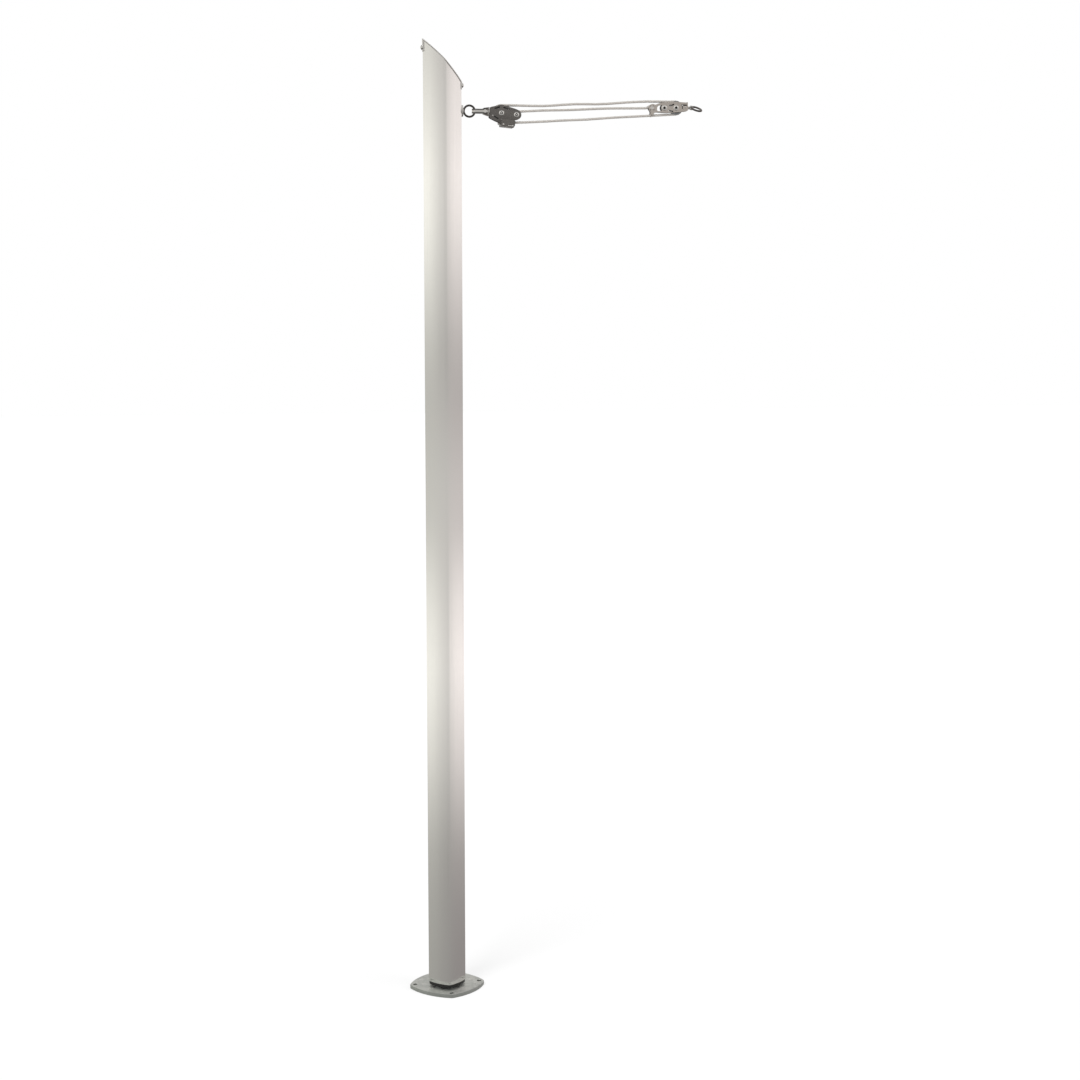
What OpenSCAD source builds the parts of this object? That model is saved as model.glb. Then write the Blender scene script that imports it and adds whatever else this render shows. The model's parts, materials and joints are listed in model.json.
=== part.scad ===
// Shade sail mast with a block and tackle that tightens the sail's corner.
// Origin: centre of the underside of the foot plate. +Z is up, +X points at the sail,
// so two corners of the four-cornered tube lie on the X axis and two on the Y axis.

/* [Mast] */
// Length of the lower tube section
lower_len = 1485; // [900:5:2000]
// Length of the upper tube section
upper_len = 1515; // [900:5:2000]
// Width of the tube over two opposite corners
mast_across = 120; // [100:1:160]
// How far each face of the tube bows out past a flat one
mast_crown = 5; // [2:0.5:7]
// Radius of the tube's corners
mast_corner_r = 12; // [6:0.5:14]
// Wall of the tube
mast_wall = 3; // [2:0.5:4]
// Drop of the slanted cut from the high corner to the low one
cut_drop = 126; // [60:1:200]

/* [Foot] */
// Width of the foot plate over two opposite corners
plate_across = 242; // [210:1:320]
// How far each side of the foot plate bows out past a straight one
plate_crown = 16; // [4:1:20]
// Radius of the foot plate's corners
plate_corner_r = 18; // [10:1:26]
// Thickness of the foot plate
plate_t = 12; // [8:1:20]
// Diameter of the circle that the anchor holes lie on
hole_circle = 210; // [180:1:270]
// Diameter of an anchor hole
hole_d = 14; // [10:1:18]
// Height of the gloss collar under the tube
collar_h = 10; // [6:1:24]
// How far the collar stands back from the tube's face
collar_inset = 1.5; // [0:0.5:2]
// Height of the stub that the tube stands over
stub_h = 130; // [80:5:220]
// Wall of the stub and of the sleeve in the joint
stub_wall = 4; // [3:0.5:6]
// Length of the sleeve that joins the two sections
sleeve_len = 300; // [160:10:400]

/* [Eye] */
// Height of the eye above the ground
eye_z = 2809; // [1900:1:2840]
// Outer diameter of the eye's ring
eye_od = 41; // [38:1:48]
// Diameter of the eye's wire
eye_wire = 6.5; // [5:0.5:8]
// Diameter of the washer behind the eye
washer_d = 35; // [26:1:44]
// Thickness of the washer
washer_t = 4; // [3:0.5:8]
// Diameter of the eye's threaded shank
shank_d = 10; // [8:1:12]

/* [Shackle] */
// Height of the strap shackle's flat strap
strap_h = 14; // [10:1:16]
// Thickness of the strap
strap_t = 3; // [2:0.5:3]
// Distance from the eye's wire to the shackle's cross pin
strap_len = 31; // [28:1:45]
// Diameter of the shackle's cross pin
cross_pin_d = 6; // [5:0.5:8]

/* [Rope] */
// Diameter of the rope
rope_d = 7; // [5:0.5:8]

/* [Cleat block] */
// Angle by which the cleat block droops below the level
block_droop = 5.6; // [0:0.2:8]
// Distance from the cross pin to the large sheave's axle
large_at = 52; // [52:1:70]
// Distance between the cleat block's two axles
block_spacing = 47.5; // [44:0.5:60]
// Radius of the rope's middle line on the large sheave
large_pitch_r = 24.5; // [22:0.5:25]
// Radius of the rope's middle line on the small sheave
small_pitch_r = 10; // [9.5:0.5:11]
// Thickness of a cheek of the cleat block
cheek_t = 3.5; // [2:0.5:5]

/* [Becket block] */
// Distance from the mast's middle to the becket block's large axle
lead_x = 744; // [600:2:1200]
// Height of that axle above the eye
lead_rise = 19; // [0:1:26]
// Angle by which the becket block tilts up
lead_tilt = 1.2; // [0:0.2:4]
// Distance between the becket block's two axles
lead_spacing = 38; // [35:0.5:45]
// Radius of the rope's middle line on the becket block's large sheave
lead_pitch_r = 20; // [16:0.5:20]
// Thickness of a frame plate of the becket block
frame_t = 2; // [1.5:0.5:3]
// Outer diameter of the end ring
ring_od = 40; // [34:1:48]
// Diameter of the end ring's wire
ring_wire = 6; // [4:0.5:7]
// Angle by which the end ring droops
ring_droop = 12; // [0:1:40]
// Roll of the end swivel about the tackle's line
ring_roll = 24; // [0:1:60]

/* [Hidden] */

// Colours
aluminium = [0.78, 0.77, 0.75];
plate_grey = [0.62, 0.63, 0.60];
gloss_black = [0.05, 0.05, 0.05];
steel = [0.70, 0.69, 0.67];
dark_steel = [0.36, 0.34, 0.32];
cheek_grey = [0.38, 0.36, 0.34];
sheave_grey = [0.24, 0.23, 0.22];
rope_grey = [0.66, 0.64, 0.61];

// Clearances and small shared sizes
eps = 0.01;
sleeve_gap = 0.4;       // stub or sleeve to the tube's bore
run_gap = 0.08;         // pin, stud or axle to the bore that turns on it, all round
pin_gap = 0.3;          // shank or screw to a plain hole, and end faces that turn past each other
side_gap = 0.5;         // sheave to cheek, each side
rope_gap = 0.5;         // rope to the bottom of a sheave's groove
arc_steps = 6;          // faces on each rounded corner
side_steps = 10;        // faces on each bowed side

// ---- Tube and plate outline: a square with bowed sides and round corners ----
// c is the distance to a corner's tip, k to the middle of a side, r the corner's radius.
function crown_at(c, r, crown) = r + (c - r) / sqrt(2) + crown;
function side_back(c, r, k) =
    (pow(c - r, 2) - pow(k - r, 2)) / (2 * (k - r) - sqrt(2) * (c - r));
function arc(at, r, a0, a1, n) =
    [for (i = [0:n]) let (a = a0 + (a1 - a0) * i / n) [at[0] + r * cos(a), at[1] + r * sin(a)]];
function turn(p, a) = [p[0] * cos(a) - p[1] * sin(a), p[0] * sin(a) + p[1] * cos(a)];
function pillow(c, r, k) =
    let (m = side_back(c, r, k),
        q = m / sqrt(2),
        a = atan2(q, c - r + q),
        corner = arc([c - r, 0], r, -a, a, arc_steps),
        side = arc([-q, -q], m + k, a, 90 - a, side_steps))
    [for (s = [0:3])
        for (p = concat(corner, [for (i = [1:side_steps - 1]) side[i]])) turn(p, 90 * s)];

mast_c = mast_across / 2;
mast_k = crown_at(mast_c, mast_corner_r, mast_crown);
plate_c = plate_across / 2;
plate_k = crown_at(plate_c, plate_corner_r, plate_crown);

// The tube's outline, grown or shrunk by a distance
module mast_outline(grow = 0) {
    polygon(pillow(mast_c + grow, mast_corner_r + grow, mast_k + grow));
}

module tube(z0, z1, outside, wall) {
    translate([0, 0, z0])
        linear_extrude(z1 - z0)
            difference() {
                mast_outline(outside);
                mast_outline(outside - wall);
            }
}

// ---- Heights ----
mast_z = plate_t + collar_h;
joint_z = mast_z + lower_len;
top_z = joint_z + upper_len;
cut_angle = atan(cut_drop / mast_across);
cap_t = 2.5;
low_z = top_z - cut_drop;
tab_t = 2;
tab_w = 18;
tab_high = 34;
tab_low = 21;
screw_high_z = top_z - 22;
screw_low_z = low_z - 9;
cap_screw_d = 6;
cap_head_d = 16;
cap_head_h = 5.5;
skirt_h = 3.2;

// ---- Eye, shackle and swivel ----
eye_r = (eye_od - eye_wire) / 2;
washer_x = mast_c + washer_t;
eye_x = washer_x + eye_od / 2;
wire_x = eye_x + eye_r;
pin_x = wire_x + strap_len;
strap_in = eye_wire / 2 + 3.25;
strap_end_r = strap_h / 2 + 2;
post_r = 11;            // drum of the swivel's head, round the cross pin
collar_d = 24;          // bell between the swivel's drum and its head, at its small end
collar_at = strap_end_r + 1.3;
collar_t = 4;
stud_d = 8;
head_at = collar_at + collar_t;
head_len = 9;
stud_end = head_at + head_len;
button_d = 10;          // round end of a stud, sunk in its head
button_t = 3.2;

// ---- Cleat block, in its own frame: X from the cross pin to the sheaves, Z across ----
sheave_w = rope_d + 4;
cheek_in = sheave_w / 2 + side_gap;
cheek_out = cheek_in + cheek_t;
small_at = large_at + block_spacing;
groove_r = rope_d / 2 + rope_gap;
large_rim_r = large_pitch_r + 1.5;
small_rim_r = small_pitch_r + 2;
cheek_large_r = large_pitch_r + 1;
cheek_small_r = 16.5;
cheek_nose_r = 14;
nose_at = head_at + cheek_nose_r;
nose_low = -18;         // lower corner of the cheek's nose
axle_d = 6;
axle_head_d = 16;
axle_head_t = 1.8;

// ---- Becket block, in its own frame: X along it from the large axle, Z across ----
frame_in = cheek_in;
frame_out = frame_in + frame_t;
lead_rim_r = lead_pitch_r + 1.5;
idle_rim_r = 12.5;
idle_pitch_r = 10;
hub_head_d = 17;        // hollow rivet heads of the becket block's axles
hub_recess_d = 8;
hitch_at = -78;
hitch_post_r = 12;
splice_len = 17;        // from the becket pin to the throat of the rope's eye
splice_tail = 5;        // stretch of the eye past its round part
becket_d = 8;
hitch_r = becket_d / 2 + rope_gap + rope_d / 2;
frame_lead_r = 16.5;
frame_idle_r = 14;
frame_tail_r = 9;
tail_at = 30;
finger_low = -22.5;     // middle of the lug that hangs beside the rope's lower line
finger_r = 5.5;

// ---- Places of the sheaves in the world's XZ plane ----
function block_point(u, w) =
    [pin_x + u * cos(block_droop) + w * sin(block_droop),
        eye_z - u * sin(block_droop) + w * cos(block_droop)];
function lead_point(u, w) =
    [lead_x + u * cos(lead_tilt) - w * sin(lead_tilt),
        eye_z + lead_rise + u * sin(lead_tilt) + w * cos(lead_tilt)];
large_c = block_point(large_at, 0);
small_c = block_point(small_at, 0);
lead_c = lead_point(0, 0);
hitch_c = lead_point(hitch_at, 0);
throat_c = lead_point(hitch_at - splice_len, 0);

// ---- Cleat, in the cleat block's frame ----
cleat_rear = large_at - 3;
cleat_front = cleat_rear + 45;
guide_t = 4;
guide_top = -30.5;      // top of the rear guide, under the cheeks
guide_hole_d = rope_d + 2.5;
cleat_floor = -38.5;
cleat_floor_t = 3;
cleat_half = 21;
cleat_wall = 2;
cleat_side_len = cleat_front - cleat_rear - 3.5;
shoulder_high = -18.5;
shoulder_low = -21;
cam_at = cleat_rear + 24;
cam_y = 12.5;
cam_low = cleat_floor + 1;
cam_high = -24;
cam_gap = 0.5;
cam_grow = 0.0085;      // growth of the cam's radius for each degree
cam_face = atan(cam_grow * 180 / PI);
cam_near_r = (cam_y - rope_d / 2 - cam_gap) / (exp(cam_grow * cam_face) * cos(cam_face));
cam_tooth = 0.7;
cam_pin_d = 5;
cheek_floor = -19.5;
tail_in = [cleat_rear - 4, -33.6];
guide_in = [cleat_front + guide_t / 2, -24.6];

module in_block() {
    translate([pin_x, 0, eye_z]) rotate([0, block_droop, 0]) children();
}

module in_lead() {
    translate([lead_x, 0, eye_z + lead_rise]) rotate([0, -lead_tilt, 0]) children();
}

// A plate cut to a 2-D outline of X and Z, from y0 to y1
module upright(y0, y1) {
    translate([0, y1, 0]) rotate([90, 0, 0]) linear_extrude(y1 - y0) children();
}

// A round bar across the block, along Y
module across(x, z, d, half) {
    translate([x, half, z]) rotate([90, 0, 0]) cylinder(d = d, h = 2 * half, $fn = 48);
}

// Outline round three circles in a row: [place, radius] for left, middle and right
function belt(l, m, r, n) =
    let (tr = acos((m[1] - r[1]) / (r[0] - m[0])), tl = acos((l[1] - m[1]) / (m[0] - l[0])))
    concat(arc([r[0], 0], r[1], -tr, tr, n),
        arc([m[0], 0], m[1], tr, tl, n),
        arc([l[0], 0], l[1], tl, 360 - tl, n),
        arc([m[0], 0], m[1], 360 - tl, 360 - tr, n));

// A long hole with round ends between two points
module slot(p, q, w) {
    a = atan2(q[1] - p[1], q[0] - p[0]);
    polygon(concat(arc(q, w / 2, a - 90, a + 90, 5), arc(p, w / 2, a + 90, a + 270, 5)));
}

// ---- Rope: tangent points and route ----
function side_angle(p, q, rp, rq, side) =
    atan2(q[1] - p[1], q[0] - p[0]) + side * acos((rp - rq) / norm(q - p));
function cross_angle(p, q, rp, rq) =
    atan2(q[1] - p[1], q[0] - p[0]) - acos((rp + rq) / norm(q - p));
function on(c, r, a) = [c[0] + r * cos(a), c[1] + r * sin(a)];
// Points along a straight run, with a hand-chosen lift at some shares of its length
function run(p, q, lifts) = [for (s = lifts) p + (q - p) * s[0] + [0, s[1]]];

tail_p = block_point(tail_in[0], tail_in[1]);
guide_p = block_point(guide_in[0], guide_in[1]);
low_a = side_angle(guide_p, lead_c, 0, lead_pitch_r, -1);
low_q = on(lead_c, lead_pitch_r, low_a);
top_a = side_angle(large_c, lead_c, large_pitch_r, lead_pitch_r, 1);
top_p = on(large_c, large_pitch_r, top_a);
top_q = on(lead_c, lead_pitch_r, top_a);
mid_a = cross_angle(large_c, small_c, large_pitch_r, small_pitch_r);
beck_a = side_angle(small_c, throat_c, small_pitch_r, 0, 1);
beck_p = on(small_c, small_pitch_r, beck_a);
// The rope ends in an eye round the becket pin: its two legs meet at the throat
eye_half = acos(hitch_r / splice_len);
eye_in = 180 + lead_tilt - eye_half;
eye_out = lead_tilt - 180 + eye_half;
eye_end = on(hitch_c, hitch_r, eye_out) + splice_tail * [sin(eye_out), -cos(eye_out)];

tail_lifts = [[0, 0], [0.35, 0.3], [0.7, 0.3]];
low_lifts = [[0, 0], [0.06, -0.4], [0.13, -0.8], [0.2, -1], [0.28, -0.6], [0.36, -1], [0.44, -1.6],
    [0.52, -0.8], [0.6, 0], [0.68, 0.2], [0.76, 0], [0.84, 0], [0.93, 0]];
top_lifts = [[0.96, 0], [0.9, 1.2], [0.84, 2], [0.78, 1.6], [0.72, 0.6], [0.66, -1], [0.6, -2.6], [0.54, -3],
    [0.48, -2], [0.42, -1.4], [0.36, -2.4], [0.3, -4.2], [0.24, -5], [0.18, -4], [0.12, -2.6], [0.06, -1]];
mid_lifts = [[0.07, 0.4], [0.14, 1], [0.21, 1.5], [0.29, 1.2], [0.37, 0.8], [0.45, 1], [0.53, 1.6], [0.61, 2.2],
    [0.69, 2.4], [0.77, 2], [0.85, 1.2], [0.93, 0.4]];
rope_route = concat(
    run(tail_p, guide_p, tail_lifts),
    run(guide_p, low_q, low_lifts),
    arc(lead_c, lead_pitch_r, low_a, top_a, 8),
    run(top_p, top_q, top_lifts),
    arc(large_c, large_pitch_r, top_a, 360 + mid_a, 14),
    arc(small_c, small_pitch_r, 180 + mid_a, beck_a, 2),
    run(beck_p, throat_c, mid_lifts),
    [throat_c],
    arc(hitch_c, hitch_r, eye_in, eye_out, 10),
    [eye_end]);

// Sweeps a round section along a route that lies in the XZ plane
module sweep(route, d, sides) {
    last = len(route) - 1;
    dirs = [for (i = [0:last]) route[min(i + 1, last)] - route[max(i - 1, 0)]];
    rings = [for (i = [0:last])
        for (k = [0:sides - 1])
            let (n = [-dirs[i][1], dirs[i][0]] / norm(dirs[i]), a = 360 * (k + 0.5) / sides)
            [route[i][0] + n[0] * cos(a) * d / 2, sin(a) * d / 2, route[i][1] + n[1] * cos(a) * d / 2]];
    walls = [for (i = [0:last - 1])
        for (k = [0:sides - 1])
            let (k2 = (k + 1) % sides)
            [i * sides + k, i * sides + k2, (i + 1) * sides + k2, (i + 1) * sides + k]];
    first_cap = [[for (k = [0:sides - 1]) sides - 1 - k]];
    last_cap = [[for (k = [0:sides - 1]) last * sides + k]];
    polyhedron(rings, concat(first_cap, walls, last_cap), convexity = 10);
}

// Height of the rope's line in the cleat block's frame, at a distance along it
cleat_slope = (guide_in[1] - tail_in[1]) / (guide_in[0] - tail_in[0]);
function cleat_line(u) = tail_in[1] + (u - tail_in[0]) * cleat_slope;

// ---- Foot ----
module base_plate() {
    color(plate_grey)
        difference() {
            linear_extrude(plate_t) polygon(pillow(plate_c, plate_corner_r, plate_k));
            for (a = [0:90:270])
                rotate(a) translate([hole_circle / 2, 0, -1]) cylinder(d = hole_d, h = plate_t + 2, $fn = 48);
        }
}

module base_stub() {
    color(aluminium) tube(plate_t, plate_t + stub_h, -mast_wall - sleeve_gap, stub_wall);
}

module foot_collar() {
    color(gloss_black) tube(plate_t, mast_z, -collar_inset, mast_wall - collar_inset);
}

// ---- Tube ----
module lower_mast() {
    color(aluminium) tube(mast_z, joint_z, 0, mast_wall);
}

module joint_sleeve() {
    color(aluminium) {
        tube(joint_z - sleeve_len / 2, joint_z, -mast_wall, stub_wall);
        tube(joint_z, joint_z + sleeve_len / 2, -mast_wall - sleeve_gap, stub_wall);
    }
}

// Everything above the slanted cut, raised by a distance square to it
module above_cut(raise) {
    translate([-mast_c, 0, top_z])
        rotate([0, cut_angle, 0])
            translate([-mast_across, -mast_across, raise])
                cube([4 * mast_across, 2 * mast_across, 4 * mast_across]);
}

module upper_mast() {
    color(aluminium)
        difference() {
            tube(joint_z, top_z, 0, mast_wall);
            above_cut(0);
            translate([mast_c - mast_wall - 6, 0, eye_z])
                rotate([0, 90, 0]) cylinder(d = shank_d + 2 * pin_gap, h = 12, $fn = 48);
            cap_screw_holes();
        }
}

module cap_screw_holes() {
    translate([-mast_c - 5, 0, screw_high_z])
        rotate([0, 90, 0]) cylinder(d = cap_screw_d + pin_gap, h = 12, $fn = 32);
    translate([mast_c - 7, 0, screw_low_z])
        rotate([0, 90, 0]) cylinder(d = cap_screw_d + pin_gap, h = 12, $fn = 32);
}

// A tab that wraps the corner of the tube on the side given by -1 or 1
module corner_tab(side, z0, z1) {
    intersection() {
        tube(z0, z1, tab_t, tab_t);
        translate([side * mast_c, 0, (z0 + z1) / 2]) cube([30, tab_w, z1 - z0 + 2], center = true);
    }
}

module top_cap() {
    color(aluminium)
        difference() {
            union() {
                difference() {
                    translate([0, 0, low_z - 10]) linear_extrude(cut_drop + 40) mast_outline(tab_t);
                    above_cut(cap_t);
                    below_cut();
                }
                difference() {
                    corner_tab(-1, top_z - tab_high, top_z + 4);
                    above_cut(eps);
                }
                difference() {
                    corner_tab(1, low_z - tab_low, low_z + 4);
                    above_cut(eps);
                }
            }
            cap_screw_holes();
        }
}

module below_cut() {
    translate([-mast_c, 0, top_z])
        rotate([0, cut_angle, 0])
            translate([-mast_across, -mast_across, -4 * mast_across])
                cube([4 * mast_across, 2 * mast_across, 4 * mast_across]);
}

// Dome head over the seat, with a skirt that reaches down to the tab's curve
module dome_head() {
    dome_r = (pow(cap_head_d / 2, 2) + pow(cap_head_h, 2)) / (2 * cap_head_h);
    edge = asin((dome_r - cap_head_h) / dome_r);
    rotate([0, 90, 0])
        rotate_extrude($fn = 64)
            polygon(concat([[0, -skirt_h], [cap_head_d / 2, -skirt_h]],
                arc([0, cap_head_h - dome_r], dome_r, edge, 90, 7)));
}

// Screw that holds a tab of the cap, on the corner given by -1 or 1
module cap_screw(side, z) {
    color(steel)
        translate([0, 0, z])
            rotate(side < 0 ? 180 : 0) {
                difference() {
                    translate([mast_c + tab_t, 0, 0]) dome_head();
                    translate([0, 0, -cap_head_d]) linear_extrude(2 * cap_head_d) mast_outline(tab_t);
                }
                translate([mast_c + tab_t - 9, 0, 0])
                    rotate([0, 90, 0]) cylinder(d = cap_screw_d, h = 9 + cap_head_h / 2, $fn = 32);
            }
}

module cap_screw_high() {
    cap_screw(-1, screw_high_z);
}

module cap_screw_low() {
    cap_screw(1, screw_low_z);
}

// ---- Eye ----
module eye_washer() {
    color(steel)
        translate([0, 0, eye_z])
            difference() {
                union() {
                    translate([mast_c, 0, 0]) rotate([0, 90, 0]) cylinder(d = washer_d, h = washer_t, $fn = 64);
                    translate([mast_c - 7, 0, 0]) rotate([0, 90, 0]) cylinder(d = 20, h = 7.5, $fn = 48);
                }
                translate([0, 0, -washer_d]) linear_extrude(2 * washer_d) mast_outline(0);
                translate([mast_c - 10, 0, 0])
                    rotate([0, 90, 0]) cylinder(d = shank_d + 2 * pin_gap, h = 30, $fn = 48);
            }
}

module eye_bolt() {
    color(dark_steel)
        translate([eye_x, 0, eye_z]) {
            rotate([90, 0, 0]) rotate_extrude($fn = 72) translate([eye_r, 0]) circle(d = eye_wire, $fn = 32);
            difference() {
                translate([-eye_x + mast_c - 34, 0, 0])
                    rotate([0, 90, 0]) cylinder(d = shank_d, h = eye_x - mast_c + 34 - eye_r, $fn = 48);
                rotate([90, 0, 0]) cylinder(r = eye_r - eye_wire / 4, h = 20, center = true, $fn = 64);
            }
        }
}

module eye_nut() {
    color(steel)
        translate([0, 0, eye_z])
            difference() {
                union() {
                    intersection() {
                        translate([mast_c - 22, -20, -15]) cube([22, 40, 30]);
                        translate([0, 0, -20]) linear_extrude(40) mast_outline(-mast_wall);
                    }
                    translate([mast_c - 30, 0, 0]) rotate([0, 90, 0]) cylinder(d = 19, h = 8 + eps, $fn = 6);
                }
                translate([mast_c - 40, 0, 0])
                    rotate([0, 90, 0]) cylinder(d = shank_d, h = 50, $fn = 48);
            }
}

// ---- Shackle and swivel ----
module shackle_strap() {
    color(steel)
        translate([wire_x, 0, eye_z])
            difference() {
                union() {
                    translate([0, 0, -strap_h / 2])
                        rotate_extrude(angle = 180, start = 90, $fn = 64)
                            translate([strap_in, 0]) square([strap_t, strap_h]);
                    for (s = [0, 1])
                        mirror([0, s, 0])
                            upright(strap_in, strap_in + strap_t) {
                                translate([-eps, -strap_h / 2]) square([strap_len + eps, strap_h]);
                                translate([strap_len, 0]) circle(r = strap_end_r, $fn = 48);
                            }
                }
                across(strap_len, 0, cross_pin_d + 2 * run_gap, 30);
            }
}

module shackle_pin() {
    half = strap_in + strap_t + pin_gap;
    color(steel)
        translate([pin_x, 0, eye_z]) {
            across(0, 0, cross_pin_d, half + 1);
            for (s = [0, 1])
                mirror([0, s, 0])
                    translate([0, half + 2, 0]) rotate([90, 0, 0]) cylinder(d = 11, h = 2, $fn = 48);
        }
}

// Head of the swivel on the cross pin, its bell and its stud, along the block's line
module swivel_post() {
    color(dark_steel)
        in_block()
            difference() {
                union() {
                    across(0, 0, 2 * post_r, strap_in - side_gap);
                    rotate([0, 90, 0]) cylinder(d = stud_d, h = stud_end - pin_gap, $fn = 48);
                    rotate([0, 90, 0]) cylinder(d = 11, h = collar_at + 1, $fn = 48);
                    translate([collar_at, 0, 0])
                        rotate([0, 90, 0]) cylinder(d1 = collar_d, d2 = 2 * cheek_nose_r, h = collar_t - side_gap, $fn = 64);
                    translate([stud_end - pin_gap - button_t, 0, 0])
                        rotate([0, 90, 0]) cylinder(d = button_d, h = button_t, $fn = 48);
                }
                across(0, 0, cross_pin_d + 2 * run_gap, 30);
            }
}

// ---- Cleat block ----
// Block between the cheeks that the swivel's stud turns in
module block_head() {
    color(dark_steel)
        in_block()
            difference() {
                intersection() {
                    translate([head_at, -cheek_in, -9]) cube([head_len, 2 * cheek_in, 18]);
                    rotate([0, 90, 0]) cylinder(r = 11, h = 60, $fn = 48);
                }
                rotate([0, 90, 0]) cylinder(d = stud_d + 2 * run_gap, h = 60, $fn = 48);
                translate([stud_end - button_t - 2 * pin_gap, 0, 0])
                    rotate([0, 90, 0]) cylinder(d = button_d + 2 * pin_gap, h = 60, $fn = 48);
            }
}

module cheek_outline() {
    difference() {
        union() {
            intersection() {
                polygon(belt([nose_at, cheek_nose_r], [large_at, cheek_large_r],
                    [small_at, cheek_small_r], 10));
                translate([0, cheek_floor]) square([200, 100]);
            }
            polygon([[head_at + 1.5, -7], [head_at + 1.5, nose_low], [cleat_rear, guide_top],
                [cleat_rear + guide_t, guide_top], [cleat_rear + guide_t + 1, cheek_floor],
                [large_at + 10, -14]]);
        }
        translate([large_at, 0]) circle(d = axle_d, $fn = 32);
        translate([small_at, 0]) circle(d = axle_d, $fn = 32);
        slot([large_at - 21, 11.5], [large_at - 8.5, 17.3], 3.2);
        slot([large_at + 6.5, 17], [large_at + 30, 13], 3.2);
        slot([large_at - 21.5, -12.6], [large_at - 9.5, -17.8], 3.4);
    }
}

module near_cheek() {
    color(cheek_grey) in_block() upright(-cheek_out, -cheek_in) cheek_outline();
}

module far_cheek() {
    color(cheek_grey) in_block() upright(cheek_in, cheek_out) cheek_outline();
}

// A sheave about the Y axis: rim radius, pitch radius and bore
module sheave(rim_r, pitch_r) {
    difference() {
        rotate([90, 0, 0])
            difference() {
                translate([0, 0, -sheave_w / 2]) cylinder(r = rim_r, h = sheave_w, $fn = 96);
                translate([0, 0, -sheave_w]) cylinder(d = axle_d + 2 * run_gap, h = 2 * sheave_w, $fn = 48);
                rotate_extrude($fn = 96) {
                    translate([pitch_r, 0]) circle(r = groove_r, $fn = 32);
                    translate([pitch_r, -groove_r]) square([rim_r - pitch_r + 1, 2 * groove_r]);
                }
            }
    }
}

module large_sheave() {
    color(sheave_grey) in_block() translate([large_at, 0, 0]) sheave(large_rim_r, large_pitch_r);
}

module small_sheave() {
    color(sheave_grey) in_block() translate([small_at, 0, 0]) sheave(small_rim_r, small_pitch_r);
}

// Axle with a round head outside each cheek or frame plate
module axle(half, head_d) {
    across(0, 0, axle_d, half + 0.5);
    for (s = [0, 1])
        mirror([0, s, 0])
            translate([0, half + axle_head_t, 0])
                rotate([90, 0, 0]) cylinder(d = head_d, h = axle_head_t, $fn = 48);
}

// Axle whose heads have a driving slot
module slotted_axle() {
    difference() {
        axle(cheek_out, axle_head_d);
        for (s = [-1, 1])
            translate([0, s * (cheek_out + axle_head_t), 0])
                rotate([0, 35, 0]) cube([axle_head_d * 0.6, 1.8, 2], center = true);
    }
}

// Axle riveted over a wide washer, with a round recess in each head
module hub_axle() {
    difference() {
        axle(frame_out, hub_head_d);
        for (s = [0, 1])
            mirror([0, s, 0])
                translate([0, frame_out + axle_head_t + 1, 0])
                    rotate([90, 0, 0]) cylinder(d = hub_recess_d, h = axle_head_t + 0.5, $fn = 48);
    }
}

module large_axle() {
    color(steel) in_block() translate([large_at, 0, 0]) slotted_axle();
}

module small_axle() {
    color(steel) in_block() translate([small_at, 0, 0]) slotted_axle();
}

// Plate across the rope, from the cleat's floor up to a height, with a hole for the rope
// that runs on up to the plate's top where the guide is open
module rope_guide(u, high, open) {
    hole = cleat_line(u + guide_t / 2);
    difference() {
        translate([u, -cheek_out, cleat_floor])
            cube([guide_t, 2 * cheek_out, high - cleat_floor]);
        translate([u - 1, 0, 0])
            rotate([90, 0, 90])
                linear_extrude(guide_t + 2)
                    slot([0, hole], [0, open ? high + guide_hole_d : hole + 0.5], guide_hole_d);
    }
}

// Side view of the housing round the cams
module cleat_outline() {
    end = cleat_front + guide_t;
    bottom = cleat_floor - cleat_floor_t;
    polygon([[cleat_rear + 5, bottom], [end - 5, bottom], [end, bottom + 8], [end, shoulder_high],
        [cleat_rear, shoulder_high], [cleat_rear, guide_top]]);
}

module cleat_bracket() {
    length = cleat_front - cleat_rear + guide_t;
    color(cheek_grey)
        in_block() {
            intersection() {
                upright(-cleat_half, cleat_half) cleat_outline();
                union() {
                    difference() {
                        translate([cleat_rear, -cleat_half, cleat_floor - cleat_floor_t])
                            cube([length, 2 * cleat_half, cleat_floor_t]);
                        for (s = [-1, 1])
                            translate([cam_at, s * cam_y, -60]) cylinder(d = cam_pin_d, h = 60, $fn = 32);
                    }
                    rope_guide(cleat_rear, guide_top, true);
                    rope_guide(cleat_front, cheek_floor, false);
                    for (s = [0, 1]) mirror([0, s, 0]) cleat_side();
                }
            }
            for (s = [0, 1])
                mirror([0, s, 0])
                    upright(cheek_out, cheek_out + cleat_wall)
                        polygon([[cleat_rear + 2, shoulder_low], [cleat_front, shoulder_low],
                            [cleat_front - 4, -12], [cleat_rear + 6, -12]]);
        }
}

// Side wall of the housing with its two windows, and the shoulder that joins it to the cheek
module cleat_side() {
    upright(cleat_half - cleat_wall, cleat_half)
        difference() {
            translate([cleat_rear + guide_t, cleat_floor - cleat_floor_t])
                square([cleat_side_len, 40]);
            slot([cleat_rear + 9.5, cleat_floor + 4], [cleat_rear + 11.5, cleat_floor + 4], 4);
            slot([cleat_rear + 28, cleat_floor + 3.3], [cleat_rear + 41, cleat_floor + 3.3], 2.6);
        }
    translate([cleat_rear + guide_t, cheek_out, shoulder_low])
        cube([cleat_side_len, cleat_half - cheek_out, shoulder_high - shoulder_low]);
}

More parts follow.
